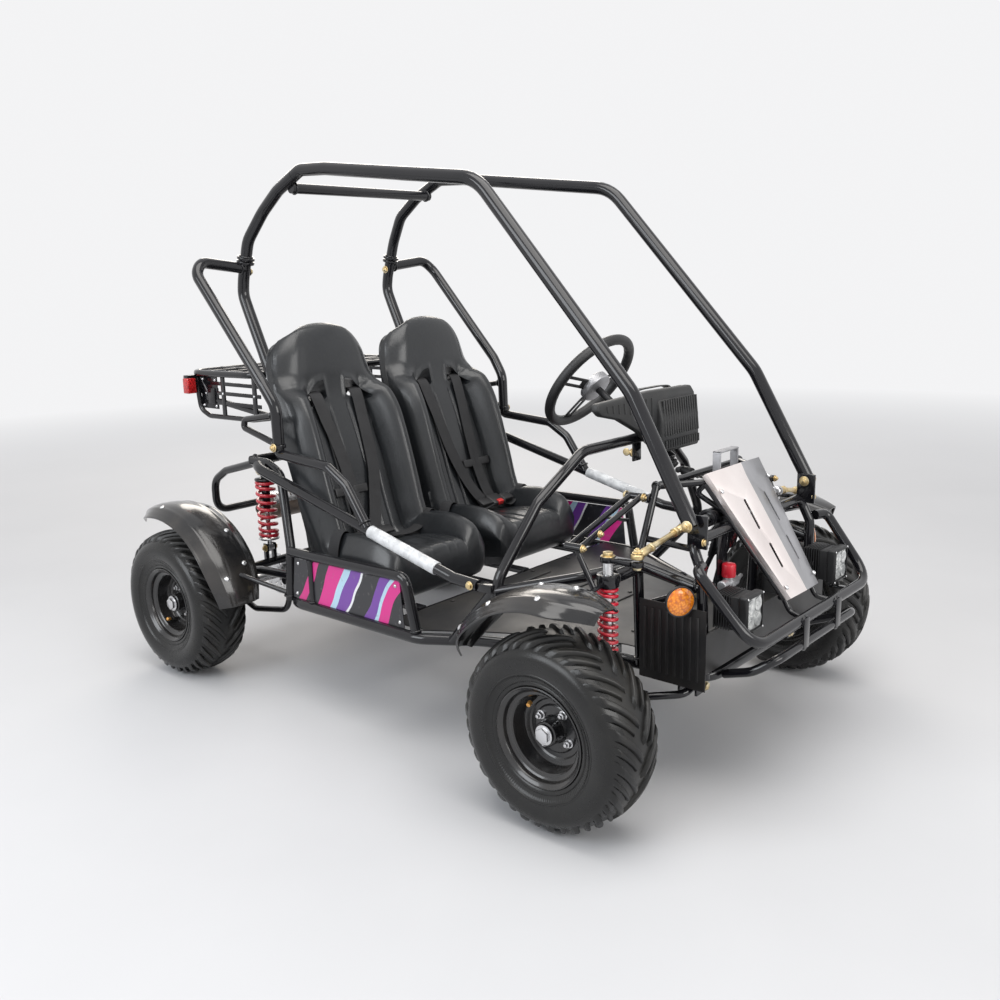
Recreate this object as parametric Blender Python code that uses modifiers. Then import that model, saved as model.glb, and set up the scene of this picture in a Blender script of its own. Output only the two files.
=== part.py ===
# A two-seat off-road racing kart: welded tube chassis, bolted roll cage, sliding-kingpin
# front suspension with rack steering, and a swinging rear end that carries engine and axle.
# Metres, +Z up, the kart's front looks along -Y and its left side is +X.
# Pieces are drawn with the ground point midway between the axles as their origin.

import bpy
import bmesh
from math import atan2, cos, hypot, pi, radians, sin, tan
from mathutils import Matrix, Vector

# Driving dimensions
TYRE_RADIUS = 0.190
TYRE_SEGMENTS = 16
RIM_SEGMENTS = 12
TYRE_WIDTH = 0.144
RIM_RADIUS = 0.0965
WHEELBASE = 1.242
REAR_TRACK = 0.945
FRONT_TRACK = 0.982
KINGPIN_X = 0.350
KINGPIN_Y = -0.635
SWING_PIVOT_Y = 0.300
SWING_PIVOT_Z = 0.270
SWING_HALF_WIDTH = 0.330
SHOCK_X = 0.240
SHOCK_Y = 0.562
CAGE_TUBE = 0.0150
SIDE_TUBE = 0.0125
FRAME_TUBE = 0.0110
GAP = 0.0003
CENTRE_SHIFT = 0.050
SEAT_SPACING = 0.376
WHEEL_CENTRE = Vector((0.180, -0.216, 0.744))
COLUMN_TILT = radians(53.0)
RACK_Y = -0.710
RACK_Z = 0.523
TIE_ROD_X = 0.203
STEER_ARM_Y = -0.700
ARM_PIVOT_X = 0.190
ARM_PIVOT_Z = 0.205
SHOCK_TOP = 0.505
SHOCK_FOOT = 0.290
SEAT_FLOOR = 0.268
THROTTLE_X = 0.130
BRAKE_X = 0.200
PEDAL_Y = -0.560
PEDAL_Z = 0.278
COLUMN_LENGTH = 0.3095
KEY_PIVOT = Vector((0.045, -0.430, 0.605))
PINION_END = Vector((0.132, -0.676, 0.534))

AXLE_Z = TYRE_RADIUS
FRONT_AXLE_Y = -WHEELBASE / 2
REAR_AXLE_Y = WHEELBASE / 2
SIDES = {"right": -1, "left": 1}
COLUMN_AXIS = Vector((0.0, -sin(COLUMN_TILT), -cos(COLUMN_TILT)))
COLUMN_END = WHEEL_CENTRE + COLUMN_AXIS * 0.323
BEARING = WHEEL_CENTRE + COLUMN_AXIS * 0.276
SWING_PIVOT = Vector((0.0, SWING_PIVOT_Y, SWING_PIVOT_Z))

# Colours from the photograph
BLACK_COAT = ("black_powder_coat", (0.012, 0.012, 0.014), 0.28, 0.35)
BLACK_PLASTIC = ("black_plastic", (0.015, 0.016, 0.017), 0.42, 0.0)
RUBBER = ("tyre_rubber", (0.020, 0.020, 0.020), 0.80, 0.0)
VINYL = ("black_vinyl", (0.016, 0.017, 0.019), 0.45, 0.0)
RED_SPRING = ("red_spring_paint", (0.75, 0.02, 0.06), 0.30, 0.0)
ALUMINIUM = ("brushed_aluminium", (0.78, 0.72, 0.71), 0.35, 1.0)
ZINC = ("yellow_zinc", (0.68, 0.52, 0.27), 0.35, 0.9)
STEEL = ("bare_steel", (0.45, 0.45, 0.46), 0.35, 1.0)
CAST = ("cast_alloy", (0.30, 0.30, 0.31), 0.55, 0.9)
ORANGE = ("orange_lens", (0.90, 0.32, 0.02), 0.25, 0.0)
LENS = ("lamp_lens", (0.85, 0.86, 0.84), 0.15, 0.0)
PANEL = ("side_panel_print", (0.45, 0.10, 0.30), 0.35, 0.0)
RED_LENS = ("red_rack_lamp", (0.60, 0.02, 0.03), 0.30, 0.0)


def new_collection(name):
    collection = bpy.data.collections.new(name)
    bpy.context.scene.collection.children.link(collection)
    return collection


def material(finish):
    name, colour, roughness, metallic = finish
    found = bpy.data.materials.get(name)
    if found:
        return found
    made = bpy.data.materials.new(name)
    made.use_nodes = True
    shader = made.node_tree.nodes["Principled BSDF"]
    shader.inputs["Base Color"].default_value = (*colour, 1.0)
    shader.inputs["Roughness"].default_value = roughness
    shader.inputs["Metallic"].default_value = metallic
    return made


def place(name, mesh, matrix=None):
    made = bpy.data.objects.new(name, mesh)
    KART.objects.link(made)
    if matrix is not None:
        made.matrix_world = matrix
    return made


def evaluated_mesh(name, source):
    bpy.context.view_layer.update()
    graph = bpy.context.evaluated_depsgraph_get()
    mesh = bpy.data.meshes.new_from_object(source.evaluated_get(graph))
    mesh.name = name
    return mesh


def weld(mesh):
    shape = bmesh.new()
    shape.from_mesh(mesh)
    bmesh.ops.remove_doubles(shape, verts=shape.verts, dist=0.00002)
    bmesh.ops.recalc_face_normals(shape, faces=shape.faces)
    shape.to_mesh(mesh)
    shape.free()
    return mesh


def finish(solid, name, look, origin=None):
    """Names a solid, gives it its material, and puts a moving piece's origin on its joint."""
    solid.name = name
    solid.data.name = name
    if origin is not None:
        solid.data.transform(Matrix.Translation(-Vector(origin)))
        solid.location = origin
    solid.data.materials.clear()
    solid.data.materials.append(material(look))
    solid.data.shade_smooth()
    solid.data.set_sharp_from_angle(angle=radians(40))
    return solid


def discard(solid):
    bpy.data.objects.remove(solid, do_unlink=True)


def boolean(solid, tool, operation):
    """Joins the tool to the solid, or cuts it away, and removes the tool."""
    change = solid.modifiers.new(operation, "BOOLEAN")
    change.operation = operation
    change.object = tool
    change.solver = "EXACT"
    mesh = evaluated_mesh(solid.name, solid)
    solid.modifiers.clear()
    solid.data = mesh
    discard(tool)
    return solid


def joined(solids):
    whole = solids[0]
    for other in solids[1:]:
        boolean(whole, other, "UNION")
    return whole


def cut(solid, tools):
    for tool in tools:
        boolean(solid, tool, "DIFFERENCE")
    return solid


def mirrored(points, side):
    return [Vector((side * x, y, z)) for x, y, z in points]


def rounded(points, bend, steps=1, closed=False):
    """Replaces the corners of a run of straight tube by bends of one radius."""
    path = []
    count = len(points)
    for index, corner in enumerate(points):
        if not closed and index in (0, count - 1):
            path.append(Vector(corner))
            continue
        before = Vector(points[index - 1]) - Vector(corner)
        after = Vector(points[(index + 1) % count]) - Vector(corner)
        turn = pi - before.angle(after)
        if turn < radians(14):
            path.append(Vector(corner))
            continue
        reach = min(bend * tan(turn / 2), 0.45 * before.length, 0.45 * after.length)
        start = Vector(corner) + before.normalized() * reach
        end = Vector(corner) + after.normalized() * reach
        for step in range(steps + 1):
            part = step / steps
            first = start.lerp(Vector(corner), part)
            second = Vector(corner).lerp(end, part)
            path.append(first.lerp(second, part))
    return path


def tube(points, radius, bend=0.05, steps=1, closed=False, resolution=1):
    """A bent tube with welded caps, as a mesh object in world place."""
    curve = bpy.data.curves.new("tube", "CURVE")
    curve.dimensions = "3D"
    curve.bevel_depth = radius
    curve.bevel_resolution = resolution
    curve.use_fill_caps = True
    path = rounded(points, bend, steps, closed)
    spline = curve.splines.new("POLY")
    spline.points.add(len(path) - 1)
    for point, at in zip(spline.points, path):
        point.co = (*at, 1.0)
    spline.use_cyclic_u = closed
    source = place("tube", curve)
    made = place("tube", weld(evaluated_mesh("tube", source)))
    discard(source)
    bpy.data.curves.remove(curve)
    return made


def rod(start, end, radius, segments=None, end_radius=None):
    """A straight round bar, or a taper, between two points. Thin bars have fewer sides."""
    if segments is None:
        segments = 6 if radius < 0.0125 else 8
    start = Vector(start)
    end = Vector(end)
    shape = bmesh.new()
    far_radius = radius if end_radius is None else end_radius
    bmesh.ops.create_cone(shape, cap_ends=True, segments=segments, radius1=radius,
                          radius2=far_radius, depth=(end - start).length)
    turn = (end - start).to_track_quat("Z", "Y").to_matrix().to_4x4()
    bmesh.ops.transform(shape, matrix=Matrix.Translation((start + end) / 2) @ turn, verts=shape.verts)
    mesh = bpy.data.meshes.new("rod")
    shape.to_mesh(mesh)
    shape.free()
    return place("rod", mesh)


def block(low, high, turn=None, about=None):
    """A box between two corners, turned about a point where a rotation is given."""
    low = Vector(low)
    high = Vector(high)
    shape = bmesh.new()
    bmesh.ops.create_cube(shape, size=1.0)
    size = Matrix.Diagonal((*(high - low), 1.0))
    bmesh.ops.transform(shape, matrix=Matrix.Translation((low + high) / 2) @ size, verts=shape.verts)
    if turn is not None:
        centre = Matrix.Translation(about if about is not None else (low + high) / 2)
        bmesh.ops.transform(shape, matrix=centre @ turn @ centre.inverted(), verts=shape.verts)
    mesh = bpy.data.meshes.new("block")
    shape.to_mesh(mesh)
    shape.free()
    return place("block", mesh)


def side_block(side, low, high):
    """A box given for the left side, laid on either side of the kart."""
    ends = sorted((side * low[0], side * high[0]))
    return block((ends[0], low[1], low[2]), (ends[1], high[1], high[2]))


def turned(profile, segments, centre, side=1):
    """Revolves a closed (radius, x) profile about a line along X through the centre."""
    mesh = bpy.data.meshes.new("turned")
    verts = [(radius, 0.0, side * offset) for radius, offset in profile]
    edges = [(index, (index + 1) % len(profile)) for index in range(len(profile))]
    mesh.from_pydata(verts, edges, [])
    source = place("turned", mesh)
    screw = source.modifiers.new("Turn", "SCREW")
    screw.axis = "Z"
    screw.steps = segments
    screw.render_steps = segments
    screw.use_merge_vertices = True
    screw.merge_threshold = 0.00005
    made = place("turned", weld(evaluated_mesh("turned", source)))
    discard(source)
    made.data.transform(Matrix.Translation(centre) @ Matrix.Rotation(pi / 2, 4, "Y"))
    return made


def plate(outline, thickness, matrix):
    """A flat outline in its own XY plane, extruded evenly about that plane."""
    curve = bpy.data.curves.new("plate", "CURVE")
    curve.dimensions = "2D"
    curve.fill_mode = "BOTH"
    curve.extrude = thickness / 2
    spline = curve.splines.new("POLY")
    spline.points.add(len(outline) - 1)
    for point, (x, y) in zip(spline.points, outline):
        point.co = (x, y, 0.0, 1.0)
    spline.use_cyclic_u = True
    source = place("plate", curve)
    made = place("plate", weld(evaluated_mesh("plate", source)))
    discard(source)
    made.data.transform(matrix)
    return made


def loft(rings):
    """A closed skin over rings of equal point count, with flat ends."""
    shape = bmesh.new()
    rows = [[shape.verts.new(point) for point in ring] for ring in rings]
    count = len(rows[0])
    for near, far in zip(rows, rows[1:]):
        for index in range(count):
            following = (index + 1) % count
            shape.faces.new((near[index], near[following], far[following], far[index]))
    shape.faces.new(reversed(rows[0]))
    shape.faces.new(rows[-1])
    bmesh.ops.recalc_face_normals(shape, faces=shape.faces)
    mesh = bpy.data.meshes.new("loft")
    shape.to_mesh(mesh)
    shape.free()
    return place("loft", mesh)


def shell(rows, thickness, offset=-1.0):
    """An open grid of points thickened into a closed sheet."""
    shape = bmesh.new()
    grid = [[shape.verts.new(point) for point in row] for row in rows]
    for near, far in zip(grid, grid[1:]):
        for index in range(len(near) - 1):
            shape.faces.new((near[index], near[index + 1], far[index + 1], far[index]))
    mesh = bpy.data.meshes.new("shell")
    shape.to_mesh(mesh)
    shape.free()
    source = place("shell", mesh)
    thicken = source.modifiers.new("Thicken", "SOLIDIFY")
    thicken.thickness = thickness
    thicken.offset = offset
    thicken.use_even_offset = True
    made = place("shell", weld(evaluated_mesh("shell", source)))
    discard(source)
    return made


# Tube runs, given for the left side
FLOOR_HALF = [(0.430, 0.240, 0.250), (0.430, -0.200, 0.250), (0.360, -0.310, 0.250),
              (0.270, -0.480, 0.242), (0.235, -0.600, 0.236), (0.225, -0.780, 0.236)]
POD_RAIL = [(0.428, 0.223, 0.3742), (0.428, -0.165, 0.380), (0.424, -0.192, 0.251)]
REAR_POST = [(0.428, 0.235, 0.252), (0.412, 0.242, 0.376), (0.383, 0.300, 0.545),
             (0.375, 0.360, 0.566), (0.375, 0.420, 0.566)]
GUARD_HALF = [(0.250, 0.420, 0.567), (0.240, 0.740, 0.485), (0.240, 0.800, 0.450), (0.240, 0.800, 0.362)]
KNEE_HALF = [(0.402, -0.398, 0.372), (0.392, -0.402, 0.415), (0.288, -0.420, 0.549),
             (0.159, -0.440, 0.639)]
KNEE_STAY = [(0.395, -0.270, 0.251), (0.401, -0.399, 0.390)]
KNEE_BRACE = [(0.400, -0.400, 0.386), (0.330, -0.560, 0.427), (0.250, -0.635, 0.447),
              (0.242, -0.768, 0.420)]
FRONT_POST = [(0.226, -0.774, 0.236), (0.240, -0.770, 0.455), (0.236, -0.7465, 0.5045)]
MIDDLE_POST = [(0.236, -0.635, 0.237), (0.250, -0.636, 0.448)]
SIDE_GUARD_LONG = [(0.4005, 0.3650, 0.5640), (0.410, 0.342, 0.5575), (0.410, -0.030, 0.463),
                   (0.410, -0.290, 0.397), (0.410, -0.362, 0.393)]
SIDE_GUARD_SHORT = [(0.410, 0.262, 0.6260), (0.410, 0.262, 0.603), (0.410, 0.090, 0.590),
                    (0.410, 0.030, 0.555), (0.410, -0.035, 0.464)]
LEG_JOINT = Vector((0.255, 0.5520, 1.0565))
LEG_LINE = Vector((0.0, -0.305, 0.952)).normalized()
RAIL_JOINT = Vector((0.240, 0.352, 1.251))
RAIL_LINE = Vector((0.0, -0.914, 0.405)).normalized()
LOWER_LEG = [LEG_JOINT - LEG_LINE * GAP, LEG_JOINT - LEG_LINE * 0.05, (0.255, 0.574, 0.970),
             (0.255, 0.556, 0.930), (0.255, 0.400, 0.600), (0.255, 0.246, 0.255)]
ROOF_LEG = [LEG_JOINT + LEG_LINE * GAP, LEG_JOINT + LEG_LINE * 0.05, (0.240, 0.487, 1.172),
            (0.240, 0.420, 1.220), RAIL_JOINT - RAIL_LINE * GAP]
CAGE_RAIL = [RAIL_JOINT + RAIL_LINE * GAP, RAIL_JOINT + RAIL_LINE * 0.025, (0.240, 0.240, 1.257),
             (0.240, 0.000, 1.228), (0.242, -0.235, 1.200), (0.250, -0.621, 0.781),
             (0.256, -0.757, 0.541)]
SHOULDER_BAR = [(0.256, 0.5580, 1.036), (0.388, 0.552, 1.052), (0.415, 0.536, 1.024), (0.415, 0.300, 0.766),
                (0.410, 0.264, 0.715), (0.410, 0.262, 0.6268)]
BUMPER_HALF = [(0.2515, -0.777, 0.467), (0.286, -0.788, 0.466), (0.268, -0.8965, 0.337)]
NERF_HALF = [(0.190, -0.7970, 0.240), (0.200, -0.860, 0.262), (0.180, -0.9015, 0.290)]


def tube_pair(points, radius, **shape):
    return [tube(mirrored(points, side), radius, **shape) for side in (-1, 1)]


def across(half, radius, **shape):
    """One tube that follows a half run on the right side and returns along it on the left."""
    return tube(mirrored(half, -1) + list(reversed(mirrored(half, 1))), radius, **shape)


def cross_tube(half_width, y, z, radius):
    return tube([(-half_width, y, z), (half_width, y, z)], radius)


def upright_plate(outline, thickness, x):
    """A plate that stands in the YZ plane, its outline given as (y, z) points."""
    standing = Matrix(((0, 0, 1, x), (1, 0, 0, 0), (0, 1, 0, 0), (0, 0, 0, 1)))
    return plate(outline, thickness, standing)


def floor_loop(clearance=0.0):
    return across(list(reversed(FLOOR_HALF)), SIDE_TUBE + clearance, bend=0.06, closed=True)


def floor_frame():
    """Floor loop with its cross tubes, side pods, seat feet, and suspension ears."""
    parts = [floor_loop()]
    for half_width, y, radius in ((0.425, 0.105, 0.0112), (0.425, -0.085, 0.0112), (0.300, -0.420, 0.0108)):
        parts.append(cross_tube(half_width, y, 0.2485, radius))
    parts += tube_pair(POD_RAIL, 0.0118, bend=0.02)
    for side in (-1, 1):
        for middle, outer in ((-0.735, 0.224), (-0.530, 0.256)):
            for offset in (-0.0190, 0.0190):
                parts.append(side_block(side, (0.178, middle + offset - 0.0025, 0.193),
                                        (outer, middle + offset + 0.0025, 0.2425)))
        for inner in (0.3130, 0.3438):
            parts.append(side_block(side, (inner, 0.2350, 0.2560), (inner + 0.005, 0.3140, 0.2840)))
        for across_seat in (-0.120, 0.120):
            foot = side * SEAT_SPACING / 2 + across_seat
            parts.append(block((foot - 0.012, -0.094, 0.2560), (foot + 0.012, 0.114, SEAT_FLOOR - GAP)))
    return finish(joined(parts), "floor_frame", BLACK_COAT)


def rear_frame():
    """Rear posts, shoulder-height cross tube and the engine guard with the shock ears."""
    parts = tube_pair(REAR_POST, 0.0114, bend=0.03)
    parts.append(cross_tube(0.379, 0.4205, 0.567, 0.0121))
    parts.append(across(GUARD_HALF, FRAME_TUBE))
    for side in (-1, 1):
        for inner in (0.2240, 0.2520):
            parts.append(side_block(side, (inner, SHOCK_Y - 0.010, 0.4930), (inner + 0.004, SHOCK_Y + 0.010, 0.5300)))
        parts.append(side_block(side, (0.2240, SHOCK_Y - 0.010, 0.5250), (0.2560, SHOCK_Y + 0.010, 0.5300)))
        parts.append(rod((side * 0.427, 0.2370, 0.2680), (side * 0.4700, 0.3779, 0.3008), 0.0060))
    frame = cut(joined(parts), [floor_loop(0.0005)])
    return finish(frame, "rear_frame", BLACK_COAT)


def front_frame():
    """Knee hoop, front tower, sliding-kingpin guides and the steering gear's housings."""
    parts = [across(KNEE_HALF, 0.0116, bend=0.04, steps=2)]
    parts += tube_pair(KNEE_STAY, 0.0113)
    parts += tube_pair(KNEE_BRACE, 0.0109, bend=0.04)
    parts += tube_pair(MIDDLE_POST, 0.0107)
    parts.append(across(FRONT_POST, 0.0105, bend=0.02))
    for side in (-1, 1):
        kingpin = side * KINGPIN_X
        parts.append(rod((side * 0.238, -0.6352, 0.4405), (side * 0.345, -0.6352, 0.4405), 0.0128))
        parts.append(rod((kingpin, KINGPIN_Y, 0.4280), (kingpin, KINGPIN_Y, 0.4520), 0.0215))
        parts.append(rod((side * 0.362, -0.6345, 0.4345), (side * 0.493, -0.6345, 0.4190), 0.0048))
        parts.append(side_block(side, (0.4800, -0.6385, 0.4170), (0.4920, -0.6305, 0.4490)))
        parts.append(side_block(side, (0.2345, -0.7850, 0.4960), (0.2400, -0.7380, 0.5620)))
        parts.append(side_block(side, (0.4020, -0.4000, 0.3840), (0.4180, -0.3626, 0.4010)))
        parts.append(side_block(side, (0.2440, -0.7370, 0.4000), (0.2630, -0.7270, 0.4220)))
        parts.append(side_block(side, (0.0500, -0.7820, 0.4995), (0.0660, -0.7500, 0.5035)))
    parts.append(rod((-0.115, RACK_Y, RACK_Z), (0.150, RACK_Y, RACK_Z), 0.0165))
    pinion_line = (PINION_END - COLUMN_END).normalized()
    parts.append(rod(PINION_END + pinion_line * 0.036, PINION_END, 0.0135))
    for near in (-0.090, 0.080):
        parts.append(block((near, -0.7460, 0.5040), (near + 0.010, -0.7100, 0.5240)))
    parts.append(rod(BEARING - COLUMN_AXIS * 0.014, BEARING + COLUMN_AXIS * 0.014, 0.0180))
    parts.append(block((0.1745, BEARING.y - 0.012, BEARING.z + 0.010), (0.1855, BEARING.y + 0.006, 0.6260)))
    parts.append(block((0.0290, -0.4430, 0.5880), (0.0610, -0.4390, 0.6330)))
    frame = joined(parts)
    bores = [rod((-0.30, RACK_Y, RACK_Z), (0.30, RACK_Y, RACK_Z), 0.0098, 8)]
    bores.append(rod(BEARING - COLUMN_AXIS * 0.04, BEARING + COLUMN_AXIS * 0.04, 0.0104, 8))
    for side in (-1, 1):
        kingpin = side * KINGPIN_X
        bores.append(rod((kingpin, KINGPIN_Y, 0.40), (kingpin, KINGPIN_Y, 0.48), 0.0112, 8))
    cut(frame, [floor_loop(0.0005), *bores])
    return finish(frame, "front_frame", BLACK_COAT)


def floor_pan():
    """Footwell sheet on the cross tubes, wrapped up round the front posts, with pedal ears."""
    inset = SIDE_TUBE + 0.0035
    edge = [(0.408, -0.0965), (0.408, -0.196), (0.352 - inset, -0.310), (0.262 - inset, -0.480),
            (0.234 - inset, -0.590), (0.234 - inset, -0.648), (0.2635, -0.648), (0.2635, -0.7960)]
    outline = [(-x, y) for x, y in edge] + [(x, y) for x, y in reversed(edge)]
    parts = [plate(outline, 0.0024, Matrix.Translation((0.0, 0.0, 0.2615)))]
    for side in (-1, 1):
        parts.append(side_block(side, (0.2615, -0.7955, 0.2250), (0.2637, -0.6500, 0.3850)))
    parts.append(block((-0.2636, -0.7965, 0.2606), (0.2636, -0.7942, 0.3400)))
    for pivot in (THROTTLE_X, BRAKE_X):
        for offset in (-0.0215, 0.0215):
            parts.append(block((pivot + offset - 0.0020, PEDAL_Y - 0.0090, 0.2610),
                               (pivot + offset + 0.0020, PEDAL_Y + 0.0090, PEDAL_Z + 0.0090)))
    posts = []
    for side in (-1, 1):
        posts.append(rod((side * 0.236, -0.635, 0.237), (side * 0.250, -0.636, 0.448), 0.0125, 8))
        posts.append(rod((side * 0.2255, -0.7742, 0.226), (side * 0.2405, -0.7699, 0.462), 0.0125, 8))
    return finish(cut(joined(parts), posts), "floor_pan", BLACK_COAT)


def roof_hoop():
    """Rear upper part of the roll cage: two bent legs, a cross tube and the bolted flanges."""
    parts = tube_pair(ROOF_LEG, CAGE_TUBE, bend=0.07, steps=2)
    parts.append(cross_tube(0.238, 0.372, 1.222, 0.0125))
    for side in (-1, 1):
        low, high = mirrored([LEG_JOINT + LEG_LINE * 0.003, LEG_JOINT + LEG_LINE * 0.0085], side)
        parts.append(rod(low, high, 0.0225))
    return finish(joined(parts), "roof_hoop", BLACK_COAT)


def cage_leg(name, side):
    """Lower roll-hoop leg with its shoulder bar, coped over the floor loop's rear tube."""
    low, high = mirrored([LEG_JOINT - LEG_LINE * 0.0085, LEG_JOINT - LEG_LINE * 0.003], side)
    parts = [tube(mirrored(LOWER_LEG, side), CAGE_TUBE, bend=0.07, steps=2)]
    parts.append(tube(mirrored(SHOULDER_BAR, side), 0.0138, bend=0.05, steps=2))
    parts.append(rod(low, high, 0.0225))
    leg = cut(joined(parts), [floor_loop(0.0005)])
    return finish(leg, f"cage_leg_{name}", BLACK_COAT)


def cage_rail(name, side):
    """Roof rail and windscreen pillar in one bent tube."""
    return finish(tube(mirrored(CAGE_RAIL, side), CAGE_TUBE, bend=0.09, steps=2), f"cage_rail_{name}", BLACK_COAT)


def side_guard(name, side):
    """Hip rail with its arm-rest bow and the sleeve on its forward run."""
    run = mirrored([(0.410, -0.045, 0.4592), (0.410, -0.245, 0.4084)], side)
    parts = [tube(mirrored(SIDE_GUARD_LONG, side), SIDE_TUBE, bend=0.05, steps=2)]
    parts.append(tube(mirrored(SIDE_GUARD_SHORT, side), 0.0119, bend=0.03))
    parts.append(rod(run[0], run[1], 0.0142))
    return finish(joined(parts), f"side_guard_{name}", BLACK_COAT)


def front_bumper():
    """Bumper hoop below the lamps, the lower nerf bar, their two straps and the lamp brackets."""
    parts = [across(BUMPER_HALF, 0.0108, bend=0.05, steps=2)]
    parts.append(across(NERF_HALF, 0.0090, bend=0.04))
    for side in (-1, 1):
        parts.append(side_block(side, (0.064, -0.9110, 0.284), (0.088, -0.9045, 0.345)))
        parts.append(side_block(side, (0.190, -0.8920, 0.3270), (0.208, -0.8420, 0.3310)))
    return finish(joined(parts), "front_bumper", BLACK_COAT)


def nose_cowl():
    """Folded plate: two facets meet on a centre ridge below a top facet, with side returns."""
    top = Vector((0.112, -0.706, 0.612))
    low = Vector((0.064, -0.870, 0.373))
    back = Vector((0.0, 0.825, -0.566)) * 0.012
    half = [[top + back, (top + back).lerp(low + back, 0.10), low + back], [top, top.lerp(low, 0.10), low]]
    centre = [Vector((0.0, -0.722, 0.619)), Vector((0.0, -0.735, 0.594)), Vector((0.0, -0.8745, 0.3755))]
    rows = half + [centre] + [mirrored(row, -1) for row in reversed(half)]
    return finish(shell(rows, 0.0028), "nose_cowl", ALUMINIUM)


def headlight(name, side):
    """Square work lamp: bezel, housing with cooling fins, and a foot on its bracket."""
    centre = Vector((side * 0.199, -0.855, 0.379))
    parts = []
    for half_width, front, rear, half_height in ((0.034, -0.008, 0.012, 0.037), (0.029, 0.010, 0.030, 0.032),
                                                 (0.020, 0.028, 0.066, 0.024)):
        parts.append(block(centre + Vector((-half_width, front, -half_height)),
                           centre + Vector((half_width, rear, half_height))))
    for index in range(3):
        low = centre + Vector((-0.031, 0.032 + index * 0.012, -0.034))
        parts.append(block(low, low + Vector((0.062, 0.004, 0.068))))
    parts.append(rod(centre + Vector((0, 0.004, -0.034)), centre + Vector((0, 0.004, -0.0477)), 0.008))
    return finish(joined(parts), f"headlight_{name}", BLACK_PLASTIC)


def turn_signal(name, side):
    """Round lamp with a domed lens, turned outwards on a short stem."""
    centre = Vector((side * 0.290, -0.757, 0.404))
    facing = Vector((side * 0.55, -0.835, 0.0)).normalized()
    parts = [rod(centre - facing * 0.012, centre, 0.0300, 16)]
    parts.append(rod(centre - facing * 0.001, centre + facing * 0.006, 0.0285, 16, 0.0220))
    parts.append(rod(centre - facing * 0.032, centre - facing * 0.010, 0.0100))
    return finish(joined(parts), f"turn_signal_{name}", ORANGE)


def dash_pod():
    """Hooded instrument pod that sits over the knee hoop, with a fluted front."""
    outline = [(-0.408, 0.6512), (-0.416, 0.722), (-0.440, 0.740), (-0.500, 0.728), (-0.540, 0.668),
               (-0.536, 0.606), (-0.464, 0.600), (-0.4525, 0.6512)]
    parts = [upright_plate(outline, 0.190, 0.165)]
    for index in range(5):
        left = 0.089 + index * 0.038
        parts.append(rod((left, -0.5395, 0.612), (left, -0.5415, 0.668), 0.0060, 6))
    return finish(joined(parts), "dash_pod", BLACK_PLASTIC)


def key_switch():
    """Key barrel and bow that turn on the bracket under the knee hoop."""
    parts = [rod(KEY_PIVOT - Vector((0, 0.0087, 0)), KEY_PIVOT + Vector((0, 0.0040, 0)), 0.0095)]
    parts.append(block(KEY_PIVOT + Vector((-0.0022, 0.0030, -0.0095)), KEY_PIVOT + Vector((0.0022, 0.0240, 0.0095))))
    return finish(joined(parts), "key_switch", ZINC, KEY_PIVOT)


# Seat sections along the bucket: y, z, half width, bolster height, thickness
SEAT_SECTIONS = [
    (-0.052, 0.346, 0.150, 0.010, 0.074), (-0.030, 0.372, 0.166, 0.026, 0.102),
    (0.060, 0.373, 0.174, 0.044, 0.112), (0.150, 0.362, 0.175, 0.050, 0.094),
    (0.198, 0.398, 0.173, 0.050, 0.060), (0.240, 0.525, 0.175, 0.050, 0.050),
    (0.284, 0.680, 0.169, 0.046, 0.048), (0.318, 0.795, 0.144, 0.026, 0.044),
    (0.340, 0.866, 0.100, 0.010, 0.038), (0.347, 0.888, 0.050, 0.004, 0.022)]


def seat_ring(centre_x, index):
    """One closed section of the bucket, square to the seat's line."""
    y, z, half, bolster, depth = SEAT_SECTIONS[index]
    before = SEAT_SECTIONS[max(index - 1, 0)]
    after = SEAT_SECTIONS[min(index + 1, len(SEAT_SECTIONS) - 1)]
    along = Vector((0.0, after[0] - before[0], after[1] - before[1])).normalized()
    if index == 0:
        along = Vector((0.0, 1.0, 0.0))
    facing = Vector((0.0, -along.z, along.y))
    half_ring = [(1.0, -0.5 * depth), (1.0, 0.65 * bolster), (0.88, bolster), (0.70, 0.72 * bolster), (0.52, 0.0)]
    ring = [(-part, lift) for part, lift in half_ring] + [(0.0, 0.002)]
    ring += [(part, lift) for part, lift in reversed(half_ring)] + [(0.82, -depth), (-0.82, -depth)]
    centre = Vector((centre_x, y, z))
    return [centre + Vector((part * half, 0.0, 0.0)) + facing * lift for part, lift in ring]


def seat(name, side):
    """Bucket seat: thick base, side bolsters, narrowing head, two harness holes."""
    centre_x = side * SEAT_SPACING / 2
    bucket = loft([seat_ring(centre_x, index) for index in range(len(SEAT_SECTIONS))])
    tools = [block((centre_x - 0.25, -0.10, 0.20), (centre_x + 0.25, 0.30, SEAT_FLOOR))]
    for hand in (-1, 1):
        outline = [(hand * 0.026, 0.742), (hand * 0.070, 0.736), (hand * 0.060, 0.778), (hand * 0.034, 0.786)]
        through = Matrix(((1, 0, 0, centre_x), (0, 0, -1, 0.32), (0, 1, 0, 0), (0, 0, 0, 1)))
        tools.append(plate(outline, 0.20, through))
    return finish(cut(bucket, tools), f"seat_{name}", VINYL)


def side_panel(name, side):
    outline = [(0.222, 0.2631), (0.209, 0.3612), (-0.148, 0.3665), (-0.158, 0.2631)]
    return finish(upright_plate(outline, 0.002, side * 0.4275), f"side_panel_{name}", PANEL)


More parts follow.
